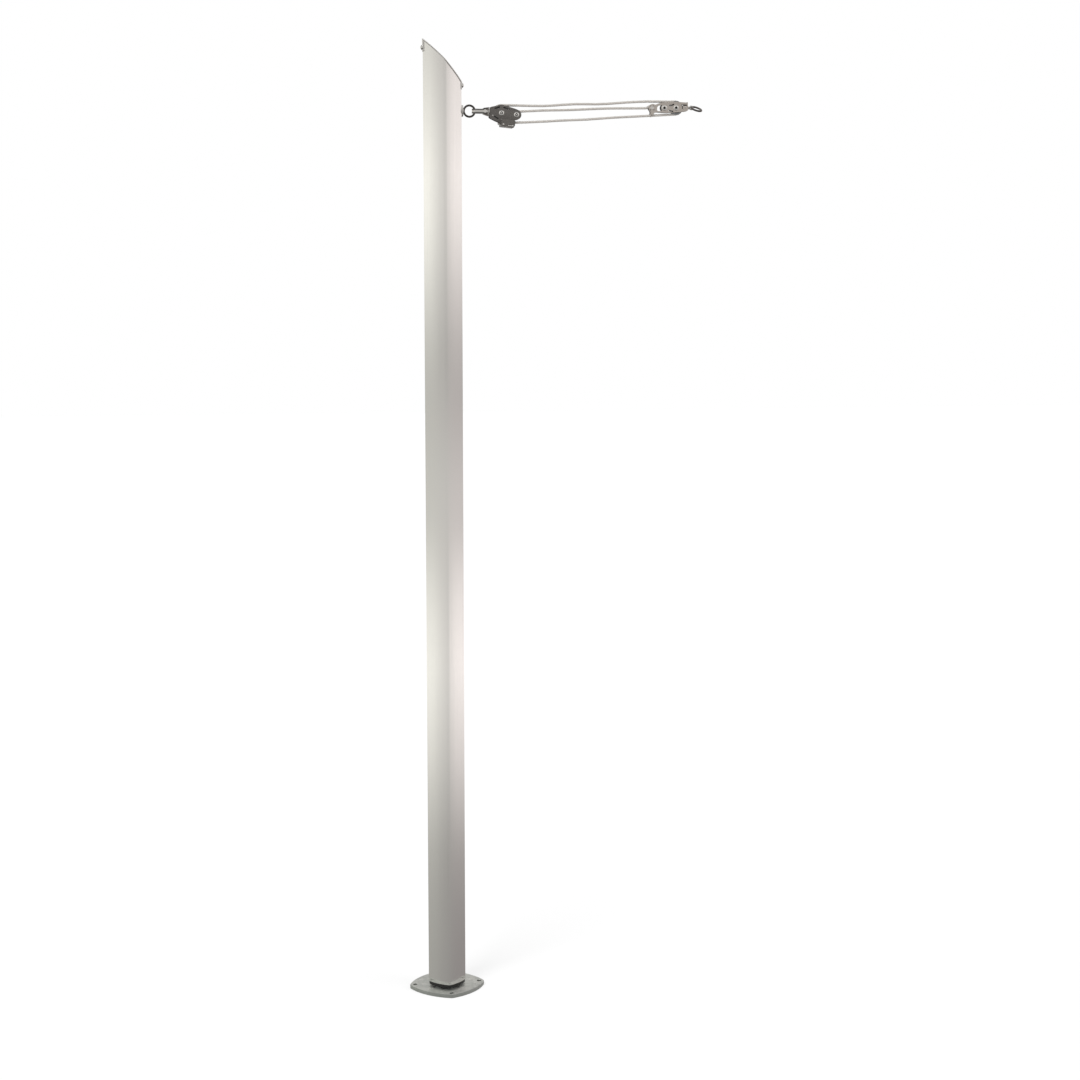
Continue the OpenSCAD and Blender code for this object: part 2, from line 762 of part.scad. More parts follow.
// Outline of a toothed cam whose radius grows steadily round the pivot. Its face looks
// at the rope: towards -Y on the side given by 1, and towards +Y on the side given by -1.
function cam_points(side) =
    let (n = 38)
    [for (i = [0:n])
        let (a = -80 + 5 * (side > 0 ? i : n - i),
            tooth = a > -60 && a < 60 && abs(a) % 10 == 5 ? cam_tooth : 0,
            r = cam_near_r * exp(-cam_grow * max(a, -60)) - tooth)
        [r * sin(a), -side * r * cos(a)]];

module cam(side) {
    in_block()
        translate([cam_at, side * cam_y, cam_low])
            difference() {
                linear_extrude(cam_high - cam_low)
                    union() {
                        polygon(cam_points(side));
                        circle(r = 5, $fn = 32);
                    }
                translate([0, 0, -1]) cylinder(d = cam_pin_d + 2 * run_gap, h = 40, $fn = 32);
            }
}

module near_cam() {
    color(sheave_grey) cam(-1);
}

module far_cam() {
    color(sheave_grey) cam(1);
}

module cam_pin(side) {
    color(steel)
        in_block()
            translate([cam_at, side * cam_y, 0]) {
                translate([0, 0, cleat_floor - cleat_floor_t])
                    cylinder(d = cam_pin_d, h = cam_high - cleat_floor + cleat_floor_t + 1, $fn = 32);
                translate([0, 0, cam_high + pin_gap]) cylinder(d = 8, h = 1.4, $fn = 32);
            }
}

module near_cam_pin() {
    cam_pin(-1);
}

module far_cam_pin() {
    cam_pin(1);
}

module rope() {
    color(rope_grey) sweep(rope_route, rope_d, 8);
}

// ---- Becket block ----
module frame_outline() {
    idle_u = -lead_spacing;
    difference() {
        union() {
            polygon(belt([idle_u, frame_idle_r], [0, frame_lead_r], [tail_at, frame_tail_r], 10));
            polygon([[hitch_at + 1, -hitch_post_r], [idle_u - 2, -frame_idle_r], [idle_u + 6, -12],
                [idle_u + 6, 12], [idle_u - 2, frame_idle_r], [hitch_at + 2, hitch_post_r - 0.4]]);
            translate([hitch_at, 0]) circle(r = hitch_post_r, $fn = 48);
            polygon([[hitch_at - 5, -8], [hitch_at - 6.5, finger_low], [hitch_at + 3.5, finger_low],
                [hitch_at + 5, -8]]);
            translate([hitch_at - 1.5, finger_low]) circle(r = finger_r, $fn = 32);
        }
        circle(d = axle_d, $fn = 32);
        translate([idle_u, 0]) circle(d = axle_d, $fn = 32);
        translate([hitch_at, 0]) circle(d = becket_d, $fn = 32);
        translate([hitch_at - 1.5, finger_low]) circle(d = 4, $fn = 24);
        polygon([[hitch_at + 12.5, -8], [idle_u - 13.5, -8], [idle_u - 12, -5], [idle_u - 12, 4.5],
            [idle_u - 14, 7.5], [hitch_at + 14.5, 6.5], [hitch_at + 12, 3], [hitch_at + 11, -4]]);
        slot([-23, 7], [-9.5, 10.5], 3);
        slot([-24, -7.5], [-12, -11], 3);
        slot([14, 8.5], [26, 5.5], 2.4);
    }
}

module near_frame() {
    color(steel) in_lead() upright(-frame_out, -frame_in) frame_outline();
}

module far_frame() {
    color(steel) in_lead() upright(frame_in, frame_out) frame_outline();
}

module lead_sheave() {
    color(sheave_grey) in_lead() sheave(lead_rim_r, lead_pitch_r);
}

module idle_sheave() {
    color(sheave_grey) in_lead() translate([-lead_spacing, 0, 0]) sheave(idle_rim_r, idle_pitch_r);
}

module lead_axle() {
    color(steel) in_lead() hub_axle();
}

module idle_axle() {
    color(steel) in_lead() translate([-lead_spacing, 0, 0]) hub_axle();
}

module becket_pin() {
    color(steel)
        in_lead()
            translate([hitch_at, 0, 0]) {
                across(0, 0, becket_d, frame_out + 1);
                for (s = [0, 1])
                    mirror([0, s, 0])
                        translate([0, frame_out + 2, 0]) rotate([90, 0, 0]) cylinder(d = 11, h = 2, $fn = 48);
            }
}

// Block between the tail ends of the frame plates, with the swivel's bore
end_at = 25;
end_len = 12;
end_bore_d = 6;
module end_head() {
    color(steel)
        in_lead()
            difference() {
                translate([end_at, -frame_in, -7]) cube([end_len, 2 * frame_in, 14]);
                rotate([0, 90, 0]) cylinder(d = end_bore_d + 2 * run_gap, h = 80, $fn = 48);
                rotate([0, 90, 0])
                    cylinder(d = button_d + 2 * pin_gap, h = end_at + button_t + 2 * pin_gap, $fn = 48);
            }
}

// Swivel with a flat eye, rolled about the tackle's line
swivel_eye_at = end_at + end_len + 14.5;
swivel_eye_r = 7;
swivel_eye_bore = 7;
ring_r = (ring_od - ring_wire) / 2;

module in_swivel() {
    in_lead() rotate([ring_roll, 0, 0]) children();
}

module end_swivel() {
    color(steel)
        in_swivel()
            difference() {
                union() {
                    translate([end_at + pin_gap, 0, 0])
                        rotate([0, 90, 0]) cylinder(d = end_bore_d, h = end_len + 3, $fn = 48);
                    translate([end_at + pin_gap, 0, 0])
                        rotate([0, 90, 0]) cylinder(d = button_d, h = button_t, $fn = 48);
                    translate([end_at + end_len + pin_gap, 0, 0])
                        rotate([0, 90, 0]) cylinder(d = 11, h = 3, $fn = 48);
                    across(swivel_eye_at, 0, 2 * swivel_eye_r, 2.5);
                    translate([end_at + end_len + 2, -2.5, -4]) cube([8, 5, 8]);
                }
                across(swivel_eye_at, 0, swivel_eye_bore, 10);
            }
}

module end_ring() {
    color(dark_steel)
        in_swivel()
            translate([swivel_eye_at, 0, 0])
                rotate([0, ring_droop + lead_tilt, 0])
                    translate([ring_r, 0, 0])
                        rotate_extrude($fn = 72) translate([ring_r, 0]) circle(d = ring_wire, $fn = 32);
}

base_plate();
base_stub();
foot_collar();
lower_mast();
joint_sleeve();
upper_mast();
top_cap();
cap_screw_high();
cap_screw_low();
eye_washer();
eye_bolt();
eye_nut();
shackle_strap();
shackle_pin();
swivel_post();
block_head();
near_cheek();
far_cheek();
large_sheave();
small_sheave();
large_axle();
small_axle();
cleat_bracket();
near_cam();
far_cam();
near_cam_pin();
far_cam_pin();
rope();
near_frame();
far_frame();
lead_sheave();
idle_sheave();
lead_axle();
idle_axle();
becket_pin();
end_head();
end_swivel();
end_ring();
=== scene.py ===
import json
import math

import bmesh
import bpy
from mathutils import Matrix, Vector

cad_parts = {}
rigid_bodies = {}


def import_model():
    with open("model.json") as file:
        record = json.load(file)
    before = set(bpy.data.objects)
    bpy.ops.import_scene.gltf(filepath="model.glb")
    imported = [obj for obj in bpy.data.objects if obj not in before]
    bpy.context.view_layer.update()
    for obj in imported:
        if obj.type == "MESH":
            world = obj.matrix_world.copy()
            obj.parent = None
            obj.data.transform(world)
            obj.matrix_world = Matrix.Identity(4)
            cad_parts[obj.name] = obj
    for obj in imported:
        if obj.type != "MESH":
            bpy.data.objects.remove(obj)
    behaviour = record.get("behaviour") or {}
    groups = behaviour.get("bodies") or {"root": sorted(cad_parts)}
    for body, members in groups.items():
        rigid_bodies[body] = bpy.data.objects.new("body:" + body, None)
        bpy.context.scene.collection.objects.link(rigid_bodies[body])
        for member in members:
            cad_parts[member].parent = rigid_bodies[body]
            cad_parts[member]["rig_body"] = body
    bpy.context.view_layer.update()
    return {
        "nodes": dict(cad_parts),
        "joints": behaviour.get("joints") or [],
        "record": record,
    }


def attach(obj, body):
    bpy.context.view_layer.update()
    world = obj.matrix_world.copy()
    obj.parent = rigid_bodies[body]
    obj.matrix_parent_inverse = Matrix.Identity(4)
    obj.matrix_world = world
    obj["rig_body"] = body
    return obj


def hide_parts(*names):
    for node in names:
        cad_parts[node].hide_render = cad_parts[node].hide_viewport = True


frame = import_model()
nodes = frame["nodes"]
joints = {joint["name"]: joint for joint in frame["joints"]}
slots = {part["node"]: part["material_slot"] for part in frame["record"]["subparts"]}
mm = 0.001
print("frame loaded:", len(nodes), "nodes")


# Camera
cameraSet = {
    "place": (-0.893, -6.576, 2.281),  # metres
    "turn": 10.35,  # degrees towards +X
    "tilt": 7.0,  # degrees below level
    "lens": 70.0,
}

cameraData = bpy.data.cameras.new("camera")
cameraData.lens = cameraSet["lens"]
cameraData.sensor_width = 36
cameraData.clip_end = 200
camera = bpy.data.objects.new("camera", cameraData)
camera.location = cameraSet["place"]
camera.rotation_euler = (math.radians(90 - cameraSet["tilt"]), 0, -math.radians(cameraSet["turn"]))
bpy.context.scene.collection.objects.link(camera)
bpy.context.scene.camera = camera
print("camera set")


# Node trees; an input named _0 is the node's first socket, whatever it is called
def newMaterial(name):
    material = bpy.data.materials.new(name)
    material.use_nodes = True
    return material, material.node_tree, material.node_tree.nodes["Principled BSDF"]


def addNode(tree, kind, settings=None, **inputs):
    node = tree.nodes.new(kind)
    for key, value in (settings or {}).items():
        setattr(node, key, value)
    for key, value in inputs.items():
        socket = node.inputs[int(key[1:])] if key[0] == "_" else node.inputs[key]
        if isinstance(value, bpy.types.NodeSocket):
            tree.links.new(value, socket)
        else:
            socket.default_value = value
    return node


def mathNode(tree, operation, a, b=0.0, c=0.0):
    return addNode(tree, "ShaderNodeMath", {"operation": operation}, _0=a, _1=b, _2=c).outputs[0]


# A ramp over (place, colour) stops
def rampNode(tree, factor, stops):
    ramp = addNode(tree, "ShaderNodeValToRGB", _0=factor)
    elements = ramp.color_ramp.elements
    while len(elements) < len(stops):
        elements.new(0.5)
    for element, (place, colour) in zip(elements, stops):
        element.position = place
        element.color = (*colour, 1)
    return ramp.outputs[0]


def objectPlace(tree, stretch=(1, 1, 1)):
    place = tree.nodes.new("ShaderNodeTexCoord").outputs["Object"]
    return addNode(tree, "ShaderNodeMapping", Vector=place, Scale=stretch).outputs[0]


def noise(tree, place, scale, detail, roughness=0.5):
    texture = addNode(tree, "ShaderNodeTexNoise", Vector=place, Scale=scale, Detail=detail, Roughness=roughness)
    return texture.outputs["Fac"]


def mixColour(tree, factor, a, b, blend="MIX"):
    mix = addNode(tree, "ShaderNodeMix", {"data_type": "RGBA", "blend_type": blend})
    for socket, value in ((mix.inputs[0], factor), (mix.inputs[6], a), (mix.inputs[7], b)):
        if isinstance(value, bpy.types.NodeSocket):
            tree.links.new(value, socket)
        elif socket == mix.inputs[0]:
            socket.default_value = value
        else:
            socket.default_value = (*value, 1)
    return mix.outputs[2]


def bumpNode(tree, height, strength, distance):
    return addNode(tree, "ShaderNodeBump", Height=height, Strength=strength, Distance=distance).outputs[0]


# Spreads the middle of a noise's range over low to high
def stretched(tree, factor, low, high):
    return addNode(tree, "ShaderNodeMapRange", _0=factor, _1=0.3, _2=0.7, _3=low, _4=high).outputs[0]


# Finishes
metalSet = {
    "cloudScale": 3.5,  # broad changes of colour
    "wearScale": 60,  # patches that are more or less polished
    "grainRoughness": 0.03,
    "grainHeight": 0.0002,  # metres
    # the colour towards which painted shade, and the eye bolt's darker steel, darken
    "darkest": (0.01, 0.01, 0.01),
}


def markNode(tree, mark):
    return addNode(tree, "ShaderNodeAttribute", {"attribute_name": mark}).outputs["Fac"]


def metalFinish(name, light, dark, roughness, grain=(900, 900, 40), wear=0.35, depth=0.04, drawn=0.0):
    material, tree, shader = newMaterial(name)
    broad = noise(tree, objectPlace(tree), metalSet["cloudScale"], 4)
    fine = noise(tree, objectPlace(tree, grain), 1.0, 2)
    patch = noise(tree, objectPlace(tree), metalSet["wearScale"], 5, 0.6)
    colour = mixColour(tree, stretched(tree, broad, 0, 1), light, dark)
    # the darkening mark paints shade here, and darkens the eye bolt's steel
    colour = mixColour(tree, markNode(tree, "tone"), colour, metalSet["darkest"])
    tree.links.new(colour, shader.inputs["Base Color"])
    shader.inputs["Metallic"].default_value = 1.0
    worn = stretched(tree, patch, roughness * (1 - wear), roughness * (1 + wear))
    grainy = stretched(tree, fine, -metalSet["grainRoughness"], metalSet["grainRoughness"])
    rough = mathNode(tree, "ADD", mathNode(tree, "ADD", worn, grainy), markNode(tree, "satin"))
    tree.links.new(rough, shader.inputs["Roughness"])
    tree.links.new(bumpNode(tree, fine, depth, metalSet["grainHeight"]), shader.inputs["Normal"])
    if drawn:
        tangent = addNode(tree, "ShaderNodeTangent", {"direction_type": "RADIAL", "axis": "Z"}).outputs[0]
        tree.links.new(tangent, shader.inputs["Tangent"])
        shader.inputs["Anisotropic"].default_value = drawn
    return material


plasticSet = {
    "cloudScale": 22,
    "cloudRoughness": 0.05,
    "grainHeight": 0.0003,  # metres
    "pale": (0.115, 0.121, 0.125),  # the colour where a piece is marked pale
    # the colour towards which painted shade darkens
    "darkest": (0.004, 0.004, 0.004),
    "shine": 0.5,  # none is left where the painted shade is full
}


def plasticFinish(name, light, dark, roughness, grainScale=1400, grainDepth=0.08):
    material, tree, shader = newMaterial(name)
    broad = noise(tree, objectPlace(tree), plasticSet["cloudScale"], 4)
    grain = noise(tree, objectPlace(tree), grainScale, 2)
    tone = markNode(tree, "tone")
    colour = mixColour(tree, stretched(tree, broad, 0, 1), light, dark)
    colour = mixColour(tree, markNode(tree, "pale"), colour, plasticSet["pale"])
    # the darkening mark paints shade here and takes away the shine
    tree.links.new(mixColour(tree, tone, colour, plasticSet["darkest"]), shader.inputs["Base Color"])
    shine = mathNode(tree, "MULTIPLY_ADD", tone, -plasticSet["shine"], plasticSet["shine"])
    tree.links.new(shine, shader.inputs["Specular IOR Level"])
    rough = stretched(tree, broad, roughness - plasticSet["cloudRoughness"], roughness + plasticSet["cloudRoughness"])
    tree.links.new(rough, shader.inputs["Roughness"])
    tree.links.new(bumpNode(tree, grain, grainDepth, plasticSet["grainHeight"]), shader.inputs["Normal"])
    return material


braidSet = {
    "fibres": (900, 40, 1),  # grain along the rope and round it
    "fibreShade": 0.35,
    "fibreDepth": 0.35,
    "fibreHeight": 0.0002,  # metres
    "fleckScale": 760.0,
    "fleckStart": 0.86,  # the share of the cells that stays without a fleck
    "fleckShade": 0.5,
    "sheen": 0.15,
}


# Yarns get painted shade in the hollows between them by their rise, and fibre grain by the place along and round the
# rope, which the mesh carries
def braidFinish(name, light, dark, fleck, roughness):
    material, tree, shader = newMaterial(name)
    place = addNode(tree, "ShaderNodeAttribute", {"attribute_name": "ropePlace"}).outputs["Vector"]
    fibres = addNode(tree, "ShaderNodeMapping", Vector=place, Scale=braidSet["fibres"]).outputs[0]
    yarn = noise(tree, fibres, 1.0, 2)
    cells = addNode(tree, "ShaderNodeTexVoronoi", Vector=objectPlace(tree), Scale=braidSet["fleckScale"])
    chance = addNode(tree, "ShaderNodeSeparateXYZ", Vector=cells.outputs["Color"]).outputs[0]
    pick = mathNode(tree, "GREATER_THAN", chance, braidSet["fleckStart"])
    rise = addNode(tree, "ShaderNodeMapRange", _0=markNode(tree, "ropeRise"), _1=0.1, _2=0.9).outputs[0]
    # painted shade: darker where the yarns sink, lighter on their crests
    base = mixColour(tree, rise, dark, light)
    colour = mixColour(tree, mathNode(tree, "MULTIPLY", pick, braidSet["fleckShade"]), base, fleck)
    colour = mixColour(tree, stretched(tree, yarn, 0.0, braidSet["fibreShade"]), colour, dark)
    tree.links.new(colour, shader.inputs["Base Color"])
    shader.inputs["Roughness"].default_value = roughness
    shader.inputs["Sheen Weight"].default_value = braidSet["sheen"]
    tree.links.new(bumpNode(tree, yarn, braidSet["fibreDepth"], braidSet["fibreHeight"]), shader.inputs["Normal"])
    return material


finishes = {
    "mast_aluminium": metalFinish("mastAluminium", (0.90, 0.885, 0.865), (0.88, 0.87, 0.85), 0.16,
                                  grain=(260, 260, 2), wear=0.12, depth=0.01, drawn=1.0),
    "plate_metal": metalFinish("plateMetal", (0.57, 0.595, 0.565), (0.50, 0.525, 0.505), 0.36),
    "collar_gloss": plasticFinish("collarGloss", (0.012, 0.012, 0.012), (0.008, 0.008, 0.008), 0.1,
                                  grainScale=300, grainDepth=0.01),
    "polished_steel": metalFinish("polishedSteel", (0.78, 0.77, 0.75), (0.70, 0.69, 0.67), 0.12, (700, 700, 700)),
    "dark_steel": metalFinish("darkSteel", (0.17, 0.155, 0.145), (0.12, 0.11, 0.103), 0.15, (700, 700, 700)),
    "frame_steel": metalFinish("frameSteel", (0.66, 0.615, 0.57), (0.50, 0.46, 0.43), 0.17, (40, 900, 900)),
    "cheek_composite": plasticFinish("cheekComposite", (0.075, 0.068, 0.062), (0.055, 0.05, 0.046), 0.36),
    "sheave_plastic": plasticFinish("sheavePlastic", (0.022, 0.023, 0.024), (0.013, 0.013, 0.014), 0.34),
    "rope_braid": braidFinish("ropeBraid", (0.45, 0.425, 0.395), (0.31, 0.29, 0.265),
                              fleck=(0.17, 0.16, 0.15), roughness=0.8),
}
print("finishes made:", len(finishes))


# Shared ways of making a piece
finished = {}
extras = []
sharpAngle = 32  # degrees between faces past which an edge is shaded sharp
breakAngle = 28  # degrees past which an edge is rounded


def camelName(node):
    first, *rest = node.split("_")
    return first + "".join(word.capitalize() for word in rest)


camelNames = {node: camelName(node) for node in nodes}


def setSmooth(mesh, angle=sharpAngle):
    for polygon in mesh.polygons:
        polygon.use_smooth = True
    mesh.set_sharp_from_angle(angle=math.radians(angle))


def meshObject(name, mesh):
    piece = bpy.data.objects.new(name, mesh)
    bpy.context.scene.collection.objects.link(piece)
    return piece


def applied(piece):
    depsgraph = bpy.context.evaluated_depsgraph_get()
    mesh = bpy.data.meshes.new_from_object(piece.evaluated_get(depsgraph))
    piece.modifiers.clear()
    piece.data = mesh
    return piece


def setPiece(piece, slotName, node, replaces=True):
    piece.data.materials.clear()
    piece.data.materials.append(finishes[slotName])
    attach(piece, nodes[node]["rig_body"])
    if replaces:
        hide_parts(node)
        finished[node] = piece
    else:
        extras.append(piece)
    return piece


# Writes a mark corner by corner: tone darkens every finish, as painted shade on most pieces and as darker steel on
# the eye bolt; satin roughens the metals, pale lightens the plastics
def marked(mesh, name, valueAt):
    layer = mesh.attributes.new(name, "FLOAT", "POINT")
    for vertex, entry in zip(mesh.vertices, layer.data):
        entry.value = valueAt(vertex.co)


def points(node):
    return [vertex.co for vertex in nodes[node].data.vertices]


def reach(node, axis):
    values = [point[axis] for point in points(node)]
    return min(values), max(values)


# A copy of a node with its edges rounded as a maker would break them
def rounded(node, width, steps):
    mesh = nodes[node].data.copy()
    mesh.name = camelNames[node]
    shape = bmesh.new()
    shape.from_mesh(mesh)
    bmesh.ops.remove_doubles(shape, verts=shape.verts, dist=1e-5)
    bmesh.ops.dissolve_limit(shape, angle_limit=math.radians(1), verts=shape.verts, edges=shape.edges)
    shape.to_mesh(mesh)
    shape.free()
    for attribute in [a.name for a in mesh.attributes if a.name.startswith("custom")]:
        mesh.attributes.remove(mesh.attributes[attribute])
    return edgesBroken(meshObject(camelNames[node], mesh), width, steps)


def edgesBroken(piece, width, steps=2):
    for polygon in piece.data.polygons:
        polygon.use_smooth = True
    bevel = piece.modifiers.new("edges", "BEVEL")
    bevel.width = width * mm
    bevel.segments = steps
    bevel.limit_method = "ANGLE"
    bevel.angle_limit = math.radians(breakAngle)
    shading = piece.modifiers.new("shading", "WEIGHTED_NORMAL")
    shading.weight = 80
    return applied(piece)


# A round piece from (radius, height, sides) rings in mm; sides is 0 on a round ring and 6 on a hexagonal one
def latheMesh(name, rings, steps=48):
    corners, faces = [], []
    for radius, height, sides in rings:
        for step in range(steps):
            angle = 2 * math.pi * step / steps
            size = radius
            if sides:
                part = math.pi / sides
                size = radius * math.cos(part) / math.cos((angle + part) % (2 * part) - part)
            corners.append((size * math.cos(angle) * mm, size * math.sin(angle) * mm, height * mm))
    for ring in range(len(rings) - 1):
        for step in range(steps):
            after = (step + 1) % steps
            a, b = ring * steps, (ring + 1) * steps
            faces.append((a + step, a + after, b + after, b + step))
    faces.append(tuple(reversed(range(steps))))
    faces.append(tuple(range((len(rings) - 1) * steps, len(rings) * steps)))
    mesh = bpy.data.meshes.new(name)
    mesh.from_pydata(corners, [], faces)
    return mesh


# Stands a lathed mesh on a point, along an axis
def placed(mesh, centre, axis, spin=0.0):
    turn = Vector(axis).to_track_quat("Z", "Y").to_matrix().to_4x4() @ Matrix.Rotation(math.radians(spin), 4, "Z")
    mesh.transform(Matrix.Translation(centre) @ turn)
    return mesh


def joined(name, meshes):
    shape = bmesh.new()
    for mesh in meshes:
        shape.from_mesh(mesh)
    whole = bpy.data.meshes.new(name)
    shape.to_mesh(whole)
    shape.free()
    setSmooth(whole)
    return meshObject(name, whole)


# Rings for latheMesh along an arc, from one angle to another in degrees
def arcRings(centreRadius, centreHeight, radius, start, end, count):
    turns = [math.radians(start + (end - start) * i / count) for i in range(count + 1)]
    return [(centreRadius + radius * math.cos(t), centreHeight + radius * math.sin(t), 0) for t in turns]


# Geometry Nodes
def geometryTree(name, inputs):
    tree = bpy.data.node_groups.new(name, "GeometryNodeTree")
    tree.interface.new_socket("Geometry", in_out="INPUT", socket_type="NodeSocketGeometry")
    for label, kind in inputs.items():
        tree.interface.new_socket(label, in_out="INPUT", socket_type="NodeSocket" + kind)
    tree.interface.new_socket("Geometry", in_out="OUTPUT", socket_type="NodeSocketGeometry")
    return tree, tree.nodes.new("NodeGroupInput").outputs


def closeTree(tree, geometry, material):
    real = addNode(tree, "GeometryNodeRealizeInstances", Geometry=geometry).outputs[0]
    final = addNode(tree, "GeometryNodeSetMaterial", Geometry=real, Material=material).outputs[0]
    tree.links.new(final, tree.nodes.new("NodeGroupOutput").inputs[0])


def grown(name, tree, mesh, values):
    piece = meshObject(name, mesh)
    modifier = piece.modifiers.new("growth", "NODES")
    modifier.node_group = tree
    for item in tree.interface.items_tree:
        if item.name in values:
            modifier[item.identifier] = values[item.name]
    return applied(piece)


# Tube sections
tubeSet = {
    "corner": 60.0,  # from the middle to a corner's tip, mm
    "cornerRadius": 12.0,
    "crown": 3.0,  # bow of each side
    "wall": 3.0,
    "edgeBreak": 0.5,
    "cornerSteps": 10,
    "sideSteps": 18,
    "sharpAngle": 15,  # keeps the shading of the sides clear of the slanted cut
}


# Takes the tube's real corner, wall and crown from the foot of the lower section
def readTube():
    foot = reach("lower_mast", 2)[0]
    low = [point / mm for point in points("lower_mast") if abs(point.z - foot) < 1e-5]
    tubeSet["corner"] = max(point.x for point in low)
    middle = [point for point in low if abs(point.x - point.y) < 0.3 and point.x > 0]  # on the middle of a side
    spans = sorted(Vector((point.x, point.y)).length for point in middle)
    tubeSet["wall"] = spans[-1] - spans[0]
    straight = tubeSet["cornerRadius"] + (tubeSet["corner"] - tubeSet["cornerRadius"]) / math.sqrt(2)
    tubeSet["crown"] = spans[-1] - straight


# The outline of the tube: a square with bowed sides and round corners, shrunk by a distance
def pillow(inset):
    c, r = tubeSet["corner"] - inset, tubeSet["cornerRadius"] - inset
    k = r + (c - r) / math.sqrt(2) + tubeSet["crown"]
    m = ((c - r) ** 2 - (k - r) ** 2) / (2 * (k - r) - math.sqrt(2) * (c - r))
    q = m / math.sqrt(2)
    a = math.atan2(q, c - r + q)
    turns = [-a + 2 * a * i / tubeSet["cornerSteps"] for i in range(tubeSet["cornerSteps"] + 1)]
    part = [(c - r + r * math.cos(t), r * math.sin(t)) for t in turns]
    sweep = math.pi / 2 - 2 * a
    turns = [a + sweep * i / tubeSet["sideSteps"] for i in range(1, tubeSet["sideSteps"])]
    part += [(-q + (m + k) * math.cos(t), -q + (m + k) * math.sin(t)) for t in turns]
    whole = [Vector(point) for point in part]
    for quarter in (1, 2, 3):
        whole += [Matrix.Rotation(math.pi / 2 * quarter, 2) @ Vector(point) for point in part]
    return whole


# A ring of the wall's section swept round the outline; its top follows the slanted cut
def tubeTree():
    tree, given = geometryTree("tubeSection", {
        "Bottom": "Float", "Top": "Float", "Wall": "Float", "Edge break": "Float", "Across": "Float",
        "Cut drop": "Float"})
    length = mathNode(tree, "SUBTRACT", given["Top"], given["Bottom"])
    path = addNode(tree, "GeometryNodeMeshToCurve", Mesh=given["Geometry"]).outputs[0]
    path = addNode(tree, "GeometryNodeSetCurveNormal", {"mode": "Z_UP"}, Curve=path).outputs[0]
    section = addNode(tree, "GeometryNodeCurvePrimitiveQuadrilateral", Width=given["Wall"], Height=length).outputs[0]
    section = addNode(tree, "GeometryNodeFilletCurve", Curve=section, Radius=given["Edge break"]).outputs[0]
    tube = addNode(tree, "GeometryNodeCurveToMesh", _0=path, _1=section).outputs[0]
    place = tree.nodes.new("GeometryNodeInputPosition").outputs[0]
    axes = addNode(tree, "ShaderNodeSeparateXYZ", Vector=place).outputs
    share = mathNode(tree, "ADD", mathNode(tree, "DIVIDE", axes[0], given["Across"]), 0.5)
    upper = mathNode(tree, "GREATER_THAN", axes[2], 0.0)
    fall = mathNode(tree, "MULTIPLY", mathNode(tree, "MULTIPLY", share, given["Cut drop"]), upper)
    middle = mathNode(tree, "MULTIPLY", mathNode(tree, "ADD", given["Top"], given["Bottom"]), 0.5)
    offset = addNode(tree, "ShaderNodeCombineXYZ", Z=mathNode(tree, "SUBTRACT", middle, fall)).outputs[0]
    tube = addNode(tree, "GeometryNodeSetPosition", Geometry=tube, Offset=offset).outputs[0]
    closeTree(tree, tube, finishes["mast_aluminium"])
    return tree


def makeTubes():
    readTube()
    tree = tubeTree()
    outline = pillow(tubeSet["wall"] / 2)
    for node in ("lower_mast", "upper_mast"):
        bottom, top = reach(node, 2)
        lowCorner = max(point.z for point in points(node) if point.x > (tubeSet["corner"] - 1) * mm)
        mesh = bpy.data.meshes.new(node)
        count = len(outline)
        mesh.from_pydata([(*(p * mm), 0) for p in outline], [(i, (i + 1) % count) for i in range(count)], [])
        piece = grown(camelNames[node], tree, mesh, {
            "Bottom": bottom, "Top": top, "Wall": tubeSet["wall"] * mm, "Edge break": tubeSet["edgeBreak"] * mm,
            "Across": 2 * tubeSet["corner"] * mm, "Cut drop": top - lowCorner})
        setSmooth(piece.data, tubeSet["sharpAngle"])
        setPiece(piece, "mast_aluminium", node)


makeTubes()
print("tube sections made")


# Round pieces: axles and cap screws
axleSet = {
    "heads": {  # radius of the head, of its recess and of the raised middle in it, 0 for none
        "large_axle": (8, 4.5, 2.0), "small_axle": (8, 4.5, 2.0),
        "lead_axle": (8.5, 4.2, 0), "idle_axle": (8.5, 4.2, 0)},
    "shaft": 3.0,
    "headThickness": 1.8,
    "edge": 0.6,
    "slope": 0.5,  # fall of the head's face from its recess to its rim
    "recessDepth": 1.3,
    "recessLip": (0.4, 0.3),  # width and depth
    "recessTaper": 0.2,
    # painted shade on the floor of the recess
    "recessTone": 0.97,
    "driveLevel": 0.45,  # height of the raised middle over the recess, as a share of its depth
    "driveEdge": 0.3,
    "centreMark": (0.9, 0.35),  # radius and depth, where the recess has no raised middle
    "hub": 0.4,  # radius of the flat that closes the head
}


